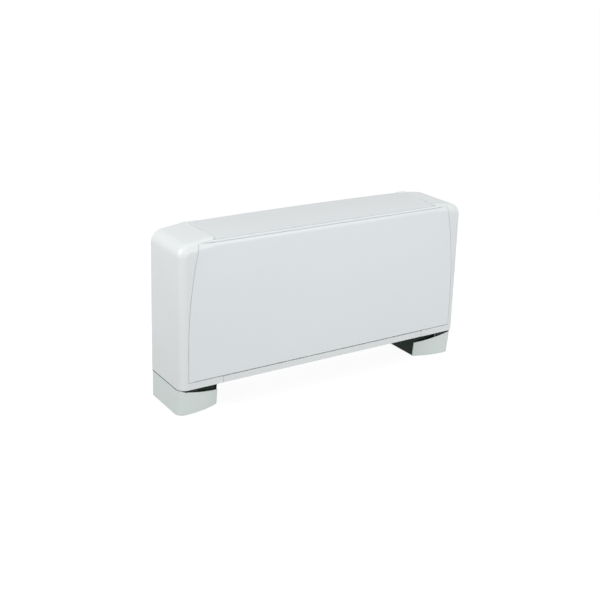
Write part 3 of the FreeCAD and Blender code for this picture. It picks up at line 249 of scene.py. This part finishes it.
@dataclass(frozen=True)
class PowderCoat(Finish):
    """Baked powder paint on sheet steel: an even colour with the long low waves of orange peel."""

    peel_mm: float = 4.0
    peel_depth_mm: float = 0.03
    cloud_mm: float = 300.0
    cloud_share: float = 0.975
    ior: float = 1.5

    def surface(self, tree: bpy.types.NodeTree, place: bpy.types.NodeSocket) -> dict[str, Any]:
        """Add the paint's waves, and a faint change of tone over the sheet.

        Args:
            tree: The material's tree.
            place: Object coordinates.

        Returns:
            Values and links for the shader's inputs.
        """
        full = linear(self.colour)
        drift = {"Vector": place, "Scale": per_metre(self.cloud_mm)}
        cloud = add_node(tree, "ShaderNodeTexNoise", inputs=drift)
        mix = {
            MIX_FACTOR: cloud.outputs[0],
            MIX_FIRST: full,
            MIX_SECOND: darkened(full, self.cloud_share),
        }
        tone = add_node(tree, "ShaderNodeMix", {"data_type": "RGBA"}, mix)
        waves = {"Vector": place, "Scale": per_metre(self.peel_mm), "Smoothness": 1.0}
        peel = add_node(tree, "ShaderNodeTexVoronoi", {"feature": "SMOOTH_F1"}, waves)
        height = {"Height": peel.outputs["Distance"], "Distance": self.peel_depth_mm * MM}
        bump = add_node(tree, "ShaderNodeBump", inputs=height)
        return {
            "Base Color": tone.outputs[MIX_RESULT],
            "Roughness": self.gloss.value,
            "IOR": self.ior,
            "Normal": bump.outputs[0],
        }


@dataclass(frozen=True)
class ZincCoat(Finish):
    """Hot dip galvanised sheet: a patchwork of pale and dark crystals, each with its own gloss."""

    spangle_mm: float = 14.0
    dark_share: float = 0.72
    gloss_below: float = 0.08
    gloss_above: float = 0.12

    def surface(self, tree: bpy.types.NodeTree, place: bpy.types.NodeSocket) -> dict[str, Any]:
        """Give each crystal its tone and gloss.

        Args:
            tree: The material's tree.
            place: Object coordinates.

        Returns:
            Values and links for the shader's inputs.
        """
        pale = linear(self.colour)
        cells = {"Vector": place, "Scale": per_metre(self.spangle_mm)}
        spangle = add_node(tree, "ShaderNodeTexVoronoi", inputs=cells)
        shade = add_node(tree, "ShaderNodeSeparateColor", inputs={0: spangle.outputs["Color"]})
        mix = {
            MIX_FACTOR: shade.outputs[0],
            MIX_FIRST: pale,
            MIX_SECOND: darkened(pale, self.dark_share),
        }
        tone = add_node(tree, "ShaderNodeMix", {"data_type": "RGBA"}, mix)
        spread = {
            "Value": shade.outputs[1],
            "To Min": self.gloss.value - self.gloss_below,
            "To Max": self.gloss.value + self.gloss_above,
        }
        rough = add_node(tree, "ShaderNodeMapRange", inputs=spread)
        return {"Base Color": tone.outputs[MIX_RESULT], "Roughness": rough.outputs[0], "Metallic": 1.0}


@dataclass(frozen=True)
class WorkedMetal(Finish):
    """Drawn, rolled or turned metal: fine lines along the way it was worked."""

    # Drawing lines are some hundredths of a millimetre wide; they are drawn coarser, so that they show.
    line_mm: float = 0.8
    run_mm: float = 60.0
    dark_share: float = 0.8
    gloss_below: float = 0.06
    gloss_above: float = 0.1

    def surface(self, tree: bpy.types.NodeTree, place: bpy.types.NodeSocket) -> dict[str, Any]:
        """Add the lines to the colour and gloss.

        Args:
            tree: The material's tree.
            place: Object coordinates.

        Returns:
            Values and links for the shader's inputs.
        """
        bright = linear(self.colour)
        stretch = (per_metre(self.run_mm), per_metre(self.line_mm), per_metre(self.line_mm))
        along = add_node(tree, "ShaderNodeMapping", inputs={"Vector": place, "Scale": stretch})
        lines = add_node(tree, "ShaderNodeTexNoise", inputs={"Vector": along.outputs[0], "Scale": 1.0})
        mix = {
            MIX_FACTOR: lines.outputs[0],
            MIX_FIRST: bright,
            MIX_SECOND: darkened(bright, self.dark_share),
        }
        tone = add_node(tree, "ShaderNodeMix", {"data_type": "RGBA"}, mix)
        spread = {
            "Value": lines.outputs[0],
            "To Min": self.gloss.value - self.gloss_below,
            "To Max": self.gloss.value + self.gloss_above,
        }
        rough = add_node(tree, "ShaderNodeMapRange", inputs=spread)
        return {"Base Color": tone.outputs[MIX_RESULT], "Roughness": rough.outputs[0], "Metallic": 1.0}


# Satin ABS: an even white with soft, wide highlights
CAP_PLASTIC = Moulding("white_abs_moulded_satin", "e4e7e6", Gloss.SATIN)
LID_PLASTIC = Moulding("pale_grey_abs_moulded_satin", "e1e4e4", Gloss.SATIN)
# Duller ABS: a greenish white without clear highlights
FOOT_PLASTIC = Moulding("grey_white_abs_moulded", "e1e9e6", Gloss.MATT)
# Baked paint: white with a soft sheen, near black that hardly shines, black with clear highlights; the
# near black's green cast is painted shade, the tint of the shadow inside the feet
PANEL_PAINT = PowderCoat("white_powder_coated_steel", "e5e9ea", Gloss.SATIN)
BRACKET_PAINT_AND_SHADE_TINT = PowderCoat("black_green_powder_coated_steel", "12281b", Gloss.DULL)
MOTOR_PAINT = PowderCoat("black_enamelled_motor_shell", "2a2b2d", Gloss.SATIN)
# Zinc and aluminium: grey crystals on the dipped sheet, fine bright lines on the plated and rolled pieces
SHEET_ZINC = ZincCoat("galvanised_steel_sheet", "b3b7b9", Gloss.SATIN)
BRIGHT_ZINC = WorkedMetal("zinc_plated_steel", "bcbec0", Gloss.SATIN)
FIN_METAL = WorkedMetal("rolled_fin_aluminium", "cfd3d5", Gloss.SATIN)
# Copper and brass: warm and bright, with lines along the tube or the cut
COPPER = WorkedMetal("drawn_copper_tube", "b9744f", Gloss.SATIN)
BRASS = WorkedMetal("turned_brass", "c3a45c", Gloss.POLISHED)
# Dark mouldings: rubber and thread without shine, fan and pan plastic with a low sheen; the rubber also
# colours the black strips of painted shade over the foot covers
RUBBER_AND_PAINTED_SHADE = Moulding("black_moulded_rubber", "1d1d1e", Gloss.DULL)
FAN_PLASTIC = Moulding("black_moulded_fan_plastic", "2c2d2f", Gloss.MATT)
NET_THREAD = Moulding("dark_spun_net_thread", "34373a", Gloss.DULL, grain_mm=0.8, cloud_mm=40.0)
PAN_PLASTIC = Moulding("dark_grey_pan_plastic", "38393b", Gloss.MATT)
# Pale mouldings of the wiring: a matt box, satin terminals and a shiny can
BOX_PLASTIC = Moulding("mid_grey_box_plastic", "94979a", Gloss.MATT)
TERMINAL_PLASTIC = Moulding("ivory_terminal_plastic", "d9d6c6", Gloss.SATIN)
CAN_PLASTIC = Moulding("smooth_capacitor_can", "d4d5d6", Gloss.POLISHED)


@dataclass(frozen=True)
class SmoothShading:
    """Shading that flows over a solid's curves and breaks at its edges."""

    crease_deg: float = 25.0
    weld_mm: float = 0.002
    tree_name: str = "Smooth over curves"

    def tree(self) -> bpy.types.NodeTree:
        """Make the tree that welds the solid's triangles and marks its edges, or find it.

        Returns:
            The tree, with inputs for the crease and the weld.
        """
        known = bpy.data.node_groups.get(self.tree_name)
        if known:
            return known
        tree = bpy.data.node_groups.new(self.tree_name, "GeometryNodeTree")
        tree.interface.new_socket("Solid", in_out="INPUT", socket_type="NodeSocketGeometry")
        tree.interface.new_socket("Crease", in_out="INPUT", socket_type="NodeSocketFloat")
        tree.interface.new_socket("Weld", in_out="INPUT", socket_type="NodeSocketFloat")
        tree.interface.new_socket("Shaded", in_out="OUTPUT", socket_type="NodeSocketGeometry")
        given = add_node(tree, "NodeGroupInput").outputs
        flat = {0: given["Solid"], "Name": CAD_NORMALS}
        plain = add_node(tree, "GeometryNodeRemoveAttribute", inputs=flat)
        weld = {0: plain.outputs[0], "Distance": given["Weld"]}
        whole = add_node(tree, "GeometryNodeMergeByDistance", inputs=weld)
        curves = {0: whole.outputs[0], "Shade Smooth": True}
        smooth = add_node(tree, "GeometryNodeSetShadeSmooth", inputs=curves)
        angle = add_node(tree, "GeometryNodeInputMeshEdgeAngle").outputs[0]
        compare = {"data_type": "FLOAT", "operation": "GREATER_THAN"}
        sharp = add_node(tree, "FunctionNodeCompare", compare, {0: angle, 1: given["Crease"]})
        creases = {0: smooth.outputs[0], "Selection": sharp.outputs[0], "Shade Smooth": False}
        broken = add_node(tree, "GeometryNodeSetShadeSmooth", {"domain": "EDGE"}, creases)
        add_node(tree, "NodeGroupOutput", inputs={0: broken.outputs[0]})
        return tree

    def apply(self, solid: bpy.types.Object) -> None:
        """Shade a CAD node by a modifier that leaves its mesh alone.

        Args:
            solid: The node's object.
        """
        shader = solid.modifiers.new("Shading", "NODES")
        shader.node_group = self.tree()
        set_inputs(shader, {"Crease": math.radians(self.crease_deg), "Weld": self.weld_mm * MM})

    def set_on(self, mesh: bpy.types.Mesh) -> None:
        """Shade a mesh that is made from a CAD node's.

        Args:
            mesh: The welded mesh.
        """
        if CAD_NORMALS in mesh.attributes:
            mesh.attributes.remove(mesh.attributes[CAD_NORMALS])
        mesh.shade_smooth()
        mesh.set_sharp_from_angle(angle=math.radians(self.crease_deg))


def set_inputs(modifier: bpy.types.NodesModifier, values: dict[str, Any]) -> None:
    """Set a Geometry Nodes modifier's inputs by their identifiers.

    Args:
        modifier: The modifier, with its tree in place.
        values: Values by the inputs' names.
    """
    for item in modifier.node_group.interface.items_tree:
        if item.in_out == "INPUT" and item.name in values:
            modifier[item.identifier] = values[item.name]


class BarShape(Enum):
    """Unit shape that a row's bars are scaled from."""

    PLATE = ("GeometryNodeMeshCube", {"Size": (1.0, 1.0, 1.0)})
    ROD = ("GeometryNodeMeshCylinder", {"Vertices": 12, "Radius": 0.5, "Depth": 1.0})


# Values of a row that its tree takes as vectors
ROW_VECTORS = ("start", "step", "size", "turn")


@dataclass(frozen=True)
class BarRow:
    """Equal bars in a row: the first bar's middle, the step to the next, each bar's size and turn."""

    name: str
    shape: BarShape
    count: int
    start: Vector
    step: Vector
    size: Vector
    turn: Euler


@dataclass(frozen=True)
class BarField:
    """A piece made of rows of bars of one material."""

    name: str
    finish: Finish
    rows: tuple[BarRow, ...]

    def tree(self) -> bpy.types.NodeTree:
        """Make the tree that grows the rows.

        Returns:
            The tree, with the inputs of each row named for it.
        """
        tree = bpy.data.node_groups.new(self.name, "GeometryNodeTree")
        tree.interface.new_socket("Piece", in_out="OUTPUT", socket_type="NodeSocketGeometry")
        for row in self.rows:
            kinds = {"count": "NodeSocketInt", **dict.fromkeys(ROW_VECTORS, "NodeSocketVector")}
            for value, socket in kinds.items():
                tree.interface.new_socket(f"{row.name} {value}", in_out="INPUT", socket_type=socket)
        given = add_node(tree, "NodeGroupInput").outputs
        joined = add_node(tree, "GeometryNodeJoinGeometry")
        for row in self.rows:
            line = {
                "Count": given[f"{row.name} count"],
                "Start Location": given[f"{row.name} start"],
                "Offset": given[f"{row.name} step"],
            }
            spots = add_node(tree, "GeometryNodeMeshLine", {"mode": "OFFSET"}, line)
            kind, unit = row.shape.value
            bars = {
                "Points": spots.outputs[0],
                "Instance": add_node(tree, kind, inputs=unit).outputs[0],
                "Rotation": given[f"{row.name} turn"],
                "Scale": given[f"{row.name} size"],
            }
            placed = add_node(tree, "GeometryNodeInstanceOnPoints", inputs=bars)
            tree.links.new(placed.outputs[0], joined.inputs[0])
        real = add_node(tree, "GeometryNodeRealizeInstances", inputs={0: joined.outputs[0]})
        coat = {0: real.outputs[0], "Material": self.finish.material()}
        dressed = add_node(tree, "GeometryNodeSetMaterial", inputs=coat)
        add_node(tree, "NodeGroupOutput", inputs={0: dressed.outputs[0]})
        return tree

    def build(self) -> bpy.types.Object:
        """Grow the rows and keep them as a plain mesh.

        Returns:
            The piece, at the origin.
        """
        piece = add_object(self.name, bpy.data.meshes.new(self.name))
        grower = piece.modifiers.new("Rows", "NODES")
        grower.node_group = self.tree()
        values: dict[str, Any] = {}
        for row in self.rows:
            values[f"{row.name} count"] = row.count
            for value in ROW_VECTORS:
                values[f"{row.name} {value}"] = tuple(getattr(row, value))
        set_inputs(grower, values)
        seen = piece.evaluated_get(bpy.context.evaluated_depsgraph_get())
        mesh = bpy.data.meshes.new_from_object(seen)
        piece.modifiers.remove(grower)
        piece.data = mesh
        return piece


@dataclass
class SubAssembly:
    """CAD nodes that belong together, with the finish of each."""

    finishes: dict[str, Finish] = field(default_factory=dict)
    shading: SmoothShading = SmoothShading()

    def build(self) -> None:
        """Make the pieces that the CAD nodes don't have; most sub-assemblies have none."""

    def dress(self) -> None:
        """Give each CAD node its material and its shading."""
        for name, finish in self.finishes.items():
            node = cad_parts[name]
            for slot in node.material_slots:
                slot.material = finish.material()
            self.shading.apply(node)
            LOG.info("%s: %s", name, finish.name)


@dataclass
class Casing(SubAssembly):
    """End caps, front panel, and the flap over the discharge grille."""

    finishes: dict[str, Finish] = field(default_factory=lambda: {
        "left_end_cap": CAP_PLASTIC,
        "right_end_cap": CAP_PLASTIC,
        "discharge_flap": LID_PLASTIC,
        "discharge_grille": LID_PLASTIC,
        "flap_hinge_pins": BRIGHT_ZINC,
    })
    seam_drop: float = 7 * MM
    seam_width: float = 1.3 * MM

    def part_of_panel(self, whole: bmesh.types.BMesh, seam: float, side: int) -> bpy.types.Mesh:
        """Cut the front panel along one edge of the seam, and close the cut.

        Args:
            whole: The welded panel.
            seam: Height of the seam's middle.
            side: One for the part above the seam, minus one for the part below.

        Returns:
            The part's mesh.
        """
        part = whole.copy()
        bmesh.ops.bisect_plane(
            part,
            geom=[*part.verts, *part.edges, *part.faces],
            plane_co=Vector((0, 0, seam + side * self.seam_width / 2)),
            plane_no=Vector((0, 0, -side)),
            clear_outer=True,
        )
        rim = [edge for edge in part.edges if edge.is_boundary]
        bmesh.ops.triangle_fill(part, edges=rim, use_beauty=True)
        bmesh.ops.recalc_face_normals(part, faces=part.faces)
        mesh = bpy.data.meshes.new("panel_part")
        part.to_mesh(mesh)
        part.free()
        return mesh

    def build(self) -> None:
        """Part the front panel's sheet from the rounded trim above it by a narrow seam."""
        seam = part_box("front_panel")[1].z - self.seam_drop
        whole, joined = bmesh.new(), bmesh.new()
        whole.from_mesh(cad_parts["front_panel"].data)
        bmesh.ops.remove_doubles(whole, verts=whole.verts, dist=self.shading.weld_mm * MM)
        for side in (-1, 1):
            part = self.part_of_panel(whole, seam, side)
            joined.from_mesh(part)
            bpy.data.meshes.remove(part)
        mesh = bpy.data.meshes.new("front_panel_sheet")
        joined.to_mesh(mesh)
        whole.free()
        joined.free()
        self.shading.set_on(mesh)
        mesh.materials.append(PANEL_PAINT.material())
        panel = add_object("front_panel_sheet", mesh)
        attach(panel, "casing")
        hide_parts("front_panel")


@dataclass(frozen=True)
class PaintedShadeStrip:
    """A black strip of painted shade under the casing, along a foot cover's side and round its front
    corner.

    Insets count inwards from the cover's side and front, and depth and fall down from its top edge.
    The strip is the left foot's, and is mirrored to the right one.
    """

    side_inset: float
    front_inset: float
    thick: float
    depth: float
    # Length along the side, behind the corner; without one the strip goes to the cover's rear.
    tail: Optional[float] = None
    run: float = 0.0
    sweep: float = 0.0
    fall: float = 0.0
    corner: float = 28 * MM
    arc_steps: int = 12
    # The cover's top edge starts to fall this share of its corner in from its side.
    fall_start: float = 0.25

    def trace(self, low: Vector, high: Vector, inset: float) -> list[Vector]:
        """Trace the strip in plan, from the rear to the front.

        Args:
            low: Lowest corner of the left cover's box.
            high: Highest corner of that box.
            inset: Distance inside the strip's outer face.

        Returns:
            The trace's points.
        """
        tail = high.y - low.y - self.corner if self.tail is None else self.tail
        middle = low.xy + Vector((self.corner, self.corner))
        reach_x = self.corner - self.side_inset - inset
        reach_y = self.corner - self.front_inset - inset
        points = [middle + Vector((-reach_x, tail))]
        for step in range(self.arc_steps + 1):
            angle = math.pi / 2 * step / self.arc_steps
            points.append(middle - Vector((reach_x * math.cos(angle), reach_y * math.sin(angle))))
        if self.run:
            points.append(middle + Vector((self.run, self.sweep - reach_y)))
        return points

    def edge(self, high: Vector, reach: float) -> float:
        """Give the height of the strip's lower edge.

        Args:
            high: Highest corner of the left cover's box.
            reach: Distance in from the cover's side.

        Returns:
            The height.
        """
        share = (reach / self.corner - self.fall_start) / (1 - self.fall_start)
        return high.z - self.depth - self.fall * min(max(share, 0), 1)

    def add_to(self, shape: bmesh.types.BMesh, roof: float) -> None:
        """Add the strip over each foot cover.

        Args:
            shape: Mesh that takes the strips.
            roof: Height of the casing's underside.
        """
        low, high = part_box("left_foot_cover")
        for hand in (1, -1):
            rings = []
            for near, far in zip(self.trace(low, high, 0), self.trace(low, high, self.thick)):
                foot = self.edge(high, near.x - low.x)
                corners = ((near, foot), (near, roof), (far, roof), (far, foot))
                rings.append([shape.verts.new((hand * spot.x, spot.y, z)) for spot, z in corners])
            for first, second in zip(rings, rings[1:]):
                for index, after in ((0, 1), (1, 2), (2, 3), (3, 0)):
                    shape.faces.new((first[index], first[after], second[after], second[index]))
            for end in (rings[0], rings[-1]):
                shape.faces.new(end)


@dataclass
class Feet(SubAssembly):
    """Foot covers over steel brackets on rubber pads, with black strips of painted shade in the gap under
    the casing.
    """

    finishes: dict[str, Finish] = field(default_factory=lambda: {
        "left_foot_cover": FOOT_PLASTIC,
        "right_foot_cover": FOOT_PLASTIC,
        "left_foot_bracket": BRACKET_PAINT_AND_SHADE_TINT,
        "right_foot_bracket": BRACKET_PAINT_AND_SHADE_TINT,
        "foot_pads": RUBBER_AND_PAINTED_SHADE,
        "foot_cover_screws": BRIGHT_ZINC,
        "frame_bolts": BRIGHT_ZINC,
    })
    # The bead stands proud of the cover and laps over its top edge; the lip hangs inside its front corner.
    # Both are painted shade: black strips where the gap and the corner under the casing lie in shadow.
    shade_bead: PaintedShadeStrip = PaintedShadeStrip(
        side_inset=-0.9 * MM, front_inset=-0.9 * MM, thick=2.5 * MM, depth=1.2 * MM,
        fall=7.5 * MM,
    )
    shade_lip: PaintedShadeStrip = PaintedShadeStrip(
        side_inset=2.5 * MM, front_inset=6 * MM, thick=1.5 * MM, depth=28 * MM,
        tail=28 * MM, run=45 * MM, sweep=5 * MM,
    )

    def build(self) -> None:
        """Lay black strips of painted shade in the gap over each cover."""
        shape = bmesh.new()
        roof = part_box("left_end_cap")[0].z
        for strip in (self.shade_bead, self.shade_lip):
            strip.add_to(shape, roof)
        bmesh.ops.recalc_face_normals(shape, faces=shape.faces)
        mesh = bpy.data.meshes.new("foot_shade_strips")
        shape.to_mesh(mesh)
        shape.free()
        # The black rubber colour here is painted shade that darkens the gap under the casing
        mesh.materials.append(RUBBER_AND_PAINTED_SHADE.material())
        shade_strips = add_object("foot_shade_strips", mesh)
        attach(shade_strips, "casing")


@dataclass
class Carcass(SubAssembly):
    """Galvanised frame between the end caps."""

    finishes: dict[str, Finish] = field(default_factory=lambda: {
        "left_frame_plate": SHEET_ZINC,
        "right_frame_plate": SHEET_ZINC,
        "rear_panel": SHEET_ZINC,
        "fan_deck": SHEET_ZINC,
        "intake_front_rail": SHEET_ZINC,
        "intake_rear_rail": SHEET_ZINC,
        "front_beam": SHEET_ZINC,
        "left_filter_rail": SHEET_ZINC,
        "right_filter_rail": SHEET_ZINC,
    })


@dataclass
class FilterDrawer(SubAssembly):
    """Slide-out filter: a moulded frame with a woven net below it."""

    finishes: dict[str, Finish] = field(default_factory=lambda: {"filter_frame": CAP_PLASTIC})
    mesh_width: float = 2.5 * MM
    thread: float = 0.5 * MM

    def build(self) -> None:
        """Weave the net from warp and weft threads, in place of the plain sheet."""
        low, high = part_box("filter_mesh")
        middle, size = (low + high) / 2, high - low
        across, along = int(size.x / self.mesh_width), int(size.y / self.mesh_width)
        level = Euler()
        warp = BarRow(
            "Warp", BarShape.PLATE, across,
            Vector((low.x + self.mesh_width / 2, middle.y, high.z - self.thread / 2)),
            Vector((size.x / across, 0, 0)), Vector((self.thread, size.y, self.thread)), level,
        )
        weft = BarRow(
            "Weft", BarShape.PLATE, along,
            Vector((middle.x, low.y + self.mesh_width / 2, low.z + self.thread / 2)),
            Vector((0, size.y / along, 0)), Vector((size.x, self.thread, self.thread)), level,
        )
        net = BarField("filter_net", NET_THREAD, (warp, weft)).build()
        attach(net, "filter_drawer")
        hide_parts("filter_mesh")


@dataclass
class Fan(SubAssembly):
    """Two impellers in their scrolls, and the motor between them."""

    finishes: dict[str, Finish] = field(default_factory=lambda: {
        "left_impeller": FAN_PLASTIC,
        "right_impeller": FAN_PLASTIC,
        "left_scroll_lower": FAN_PLASTIC,
        "left_scroll_upper": FAN_PLASTIC,
        "right_scroll_lower": FAN_PLASTIC,
        "right_scroll_upper": FAN_PLASTIC,
        "fan_shaft": BRIGHT_ZINC,
        "fan_motor": MOTOR_PAINT,
        "motor_bearings": BRIGHT_ZINC,
        "motor_cradle": SHEET_ZINC,
        "motor_rubber_rings": RUBBER_AND_PAINTED_SHADE,
    })


@dataclass
class Coil(SubAssembly):
    """Leaning coil: thin fins on copper tubes, with headers and water connections."""

    finishes: dict[str, Finish] = field(default_factory=lambda: {
        "left_coil_plate": SHEET_ZINC,
        "right_coil_plate": SHEET_ZINC,
        "coil_return_bends": COPPER,
        "coil_headers": COPPER,
        "water_unions": BRASS,
        "air_vent": BRASS,
    })
    lean_deg: float = 30.0
    thickness: float = 50 * MM
    fin_pitch: float = 2.2 * MM
    fin_sheet: float = 0.3 * MM
    tube_rows: int = 8
    tube_edge: float = 5 * MM
    tube_diameter: float = 9.5 * MM

    def build(self) -> None:
        """Stack the fins and thread the tubes through them, in place of the plain block."""
        low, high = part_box("coil_fins")
        middle, size = (low + high) / 2, high - low
        lean = math.radians(self.lean_deg)
        height = (size.z - self.thickness * math.sin(lean)) / math.cos(lean)
        turn = Matrix.Rotation(-lean, 3, "X")
        count = int(size.x / self.fin_pitch)
        fins = BarRow(
            "Fin", BarShape.PLATE, count,
            Vector((low.x + self.fin_sheet / 2, middle.y, middle.z)),
            Vector(((size.x - self.fin_sheet) / (count - 1), 0, 0)),
            Vector((self.fin_sheet, self.thickness, height)), turn.to_euler(),
        )
        pack = BarField("coil_fin_pack", FIN_METAL, (fins,)).build()
        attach(pack, "casing")
        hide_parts("coil_fins")
        pitch = (height - 2 * self.tube_edge) / self.tube_rows
        lines = []
        for name, side in {"Front tube": -1, "Rear tube": 1}.items():
            first = Vector((0, side * pitch / 2, -pitch * (self.tube_rows - 1) / 2))
            lines.append(BarRow(
                name, BarShape.ROD, self.tube_rows, middle + turn @ first, turn @ Vector((0, 0, pitch)),
                Vector((self.tube_diameter, self.tube_diameter, size.x)), Euler((0, math.pi / 2, 0)),
            ))
        tubes = BarField("coil_tubes", COPPER, tuple(lines)).build()
        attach(tubes, "casing")


@dataclass
class Drain(SubAssembly):
    """Pan under the coil, its spout and the tray below the connections."""

    finishes: dict[str, Finish] = field(default_factory=lambda: {
        "drain_pan": PAN_PLASTIC,
        "drain_spout": PAN_PLASTIC,
        "auxiliary_tray": PAN_PLASTIC,
    })


@dataclass
class Electrics(SubAssembly):
    """Terminal box with its cable gland, and the motor's capacitor."""

    finishes: dict[str, Finish] = field(default_factory=lambda: {
        "terminal_box": BOX_PLASTIC,
        "terminal_box_cover": BOX_PLASTIC,
        "cable_gland": BOX_PLASTIC,
        "terminal_block": TERMINAL_PLASTIC,
        "capacitor": CAN_PLASTIC,
    })


@dataclass(frozen=True)
class PhotoCamera:
    """Camera matched to the photograph: its place, its turn and where its axis meets the picture."""

    place: tuple[float, float, float] = (-2.062, -3.062, 1.648)
    azimuth_deg: float = -33.09
    elevation_deg: float = 16.44
    roll_deg: float = 1.71
    focal_px: float = 1062.59
    axis_px: float = 230.0
    picture_px: float = 600.0
    sensor_mm: float = 36.0

    def build(self) -> None:
        """Set up the scene's camera."""
        azimuth, elevation, roll = map(math.radians, (self.azimuth_deg, self.elevation_deg, self.roll_deg))
        back = Vector((
            math.sin(azimuth) * math.cos(elevation),
            -math.cos(azimuth) * math.cos(elevation),
            math.sin(elevation),
        ))
        level = Vector((math.cos(azimuth), math.sin(azimuth), 0))
        upright = back.cross(level)
        right = math.cos(roll) * level + math.sin(roll) * upright
        up = math.cos(roll) * upright - math.sin(roll) * level
        lens = bpy.data.cameras.new("photo_camera")
        lens.sensor_width = self.sensor_mm
        lens.lens = self.focal_px / self.picture_px * self.sensor_mm
        lens.shift_y = (self.axis_px - self.picture_px / 2) / self.picture_px
        camera = add_object("photo_camera", lens)
        turn = Matrix((right, up, back)).transposed().to_4x4()
        camera.matrix_world = Matrix.Translation(self.place) @ turn
        bpy.context.scene.camera = camera


@dataclass(frozen=True)
class SoftBox:
    """A large soft lamp that faces the unit."""

    name: str
    place: tuple[float, float, float]
    width: float
    height: float
    power: float

    def build(self, target: Vector) -> None:
        """Hang the lamp.

        Args:
            target: The point that it faces.
        """
        lamp = bpy.data.lights.new(self.name, "AREA")
        lamp.shape = "RECTANGLE"
        lamp.size = self.width
        lamp.size_y = self.height
        lamp.energy = self.power
        holder = add_object(self.name, lamp)
        aim = (target - Vector(self.place)).to_track_quat("-Z", "Y").to_matrix().to_4x4()
        holder.matrix_world = Matrix.Translation(self.place) @ aim


@dataclass(frozen=True)
class Studio:
    """White floor and sky with soft lamps."""

    floor_half: float = 40.0
    floor_colour: str = "707070"
    floor_glow: float = 0.92
    sky_colour: str = "f4f7fa"
    sky_strength: float = 0.58
    backdrop_colour: str = "ffffff"
    lamps: tuple[SoftBox, ...] = (
        SoftBox("front_softbox", (0.3, -3.6, 1.0), 4.4, 1.4, 82.0),
        SoftBox("left_softbox", (-2.7, 0.1, 1.8), 1.4, 1.4, 38.0),
        SoftBox("top_softbox", (1.3, 0.2, 2.2), 1.2, 1.2, 6.0),
    )

    def build(self, target: Vector) -> None:
        """Set up the floor, the sky and the lamps.

        Args:
            target: The point that the lamps face.
        """
        bpy.context.scene.view_settings.view_transform = "Standard"
        half = self.floor_half
        mesh = bpy.data.meshes.new("floor")
        corners = [(-half, -half, 0), (half, -half, 0), (half, half, 0), (-half, half, 0)]
        mesh.from_pydata(corners, [], [(0, 1, 2, 3)])
        mesh.materials.append(self.floor_material())
        floor = add_object("floor", mesh)
        floor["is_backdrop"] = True
        self.build_sky()
        for lamp in self.lamps:
            lamp.build(target)

    def seen(self, tree: bpy.types.NodeTree) -> bpy.types.NodeSocket:
        """Tell rays that show the background from rays that light the unit.

        Args:
            tree: Tree of the floor's material or the sky.

        Returns:
            A value of one for camera, glossy and transmission rays.
        """
        rays = add_node(tree, "ShaderNodeLightPath").outputs
        either = {0: rays["Is Camera Ray"], 1: rays["Is Glossy Ray"]}
        shown = add_node(tree, "ShaderNodeMath", {"operation": "MAXIMUM"}, either)
        last = {0: shown.outputs[0], 1: rays["Is Transmission Ray"]}
        return add_node(tree, "ShaderNodeMath", {"operation": "MAXIMUM"}, last).outputs[0]

    def floor_material(self) -> bpy.types.Material:
        """Make a floor that shows white and still takes shadows.

        Returns:
            The floor's material.
        """
        material = bpy.data.materials.new("white_studio_floor")
        material.use_nodes = True
        tree = material.node_tree
        tree.nodes.clear()
        matt = add_node(tree, "ShaderNodeBsdfDiffuse", inputs={"Color": linear(self.floor_colour)})
        level = {0: self.seen(tree), 1: self.floor_glow}
        glow = add_node(tree, "ShaderNodeMath", {"operation": "MULTIPLY"}, level)
        white = add_node(tree, "ShaderNodeEmission", inputs={"Strength": glow.outputs[0]})
        both = add_node(tree, "ShaderNodeAddShader", inputs={0: matt.outputs[0], 1: white.outputs[0]})
        add_node(tree, "ShaderNodeOutputMaterial", inputs={"Surface": both.outputs[0]})
        return material

    def build_sky(self) -> None:
        """Set up a sky that lights evenly and shows as white."""
        sky = bpy.data.worlds.new("studio_sky")
        bpy.context.scene.world = sky
        sky.use_nodes = True
        tree = sky.node_tree
        tree.nodes.clear()
        light = {"Color": linear(self.sky_colour), "Strength": self.sky_strength}
        lit = add_node(tree, "ShaderNodeBackground", inputs=light)
        plain = {"Color": linear(self.backdrop_colour), "Strength": 1.0}
        white = add_node(tree, "ShaderNodeBackground", inputs=plain)
        choice = {0: self.seen(tree), 1: lit.outputs[0], 2: white.outputs[0]}
        shown = add_node(tree, "ShaderNodeMixShader", inputs=choice)
        add_node(tree, "ShaderNodeOutputWorld", inputs={"Surface": shown.outputs[0]})


def main() -> None:
    """Measure the solids' box, build and dress every sub-assembly, then set up the studio and the camera,
    and list the pieces shown.
    """
    logging.basicConfig(level=logging.INFO, format="%(name)s %(message)s")
    solid_box = [list(corner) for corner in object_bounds()]
    for part in (Casing(), Feet(), Carcass(), FilterDrawer(), Fan(), Coil(), Drain(), Electrics()):
        part.build()
        part.dress()
        LOG.info("%s is ready", type(part).__name__)
    Studio().build(Vector((0, 0, solid_box[1][2] / 2)))
    PhotoCamera().build()
    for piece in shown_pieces():
        LOG.info("piece %s", piece.name)


if __name__ == "__main__":
    main()
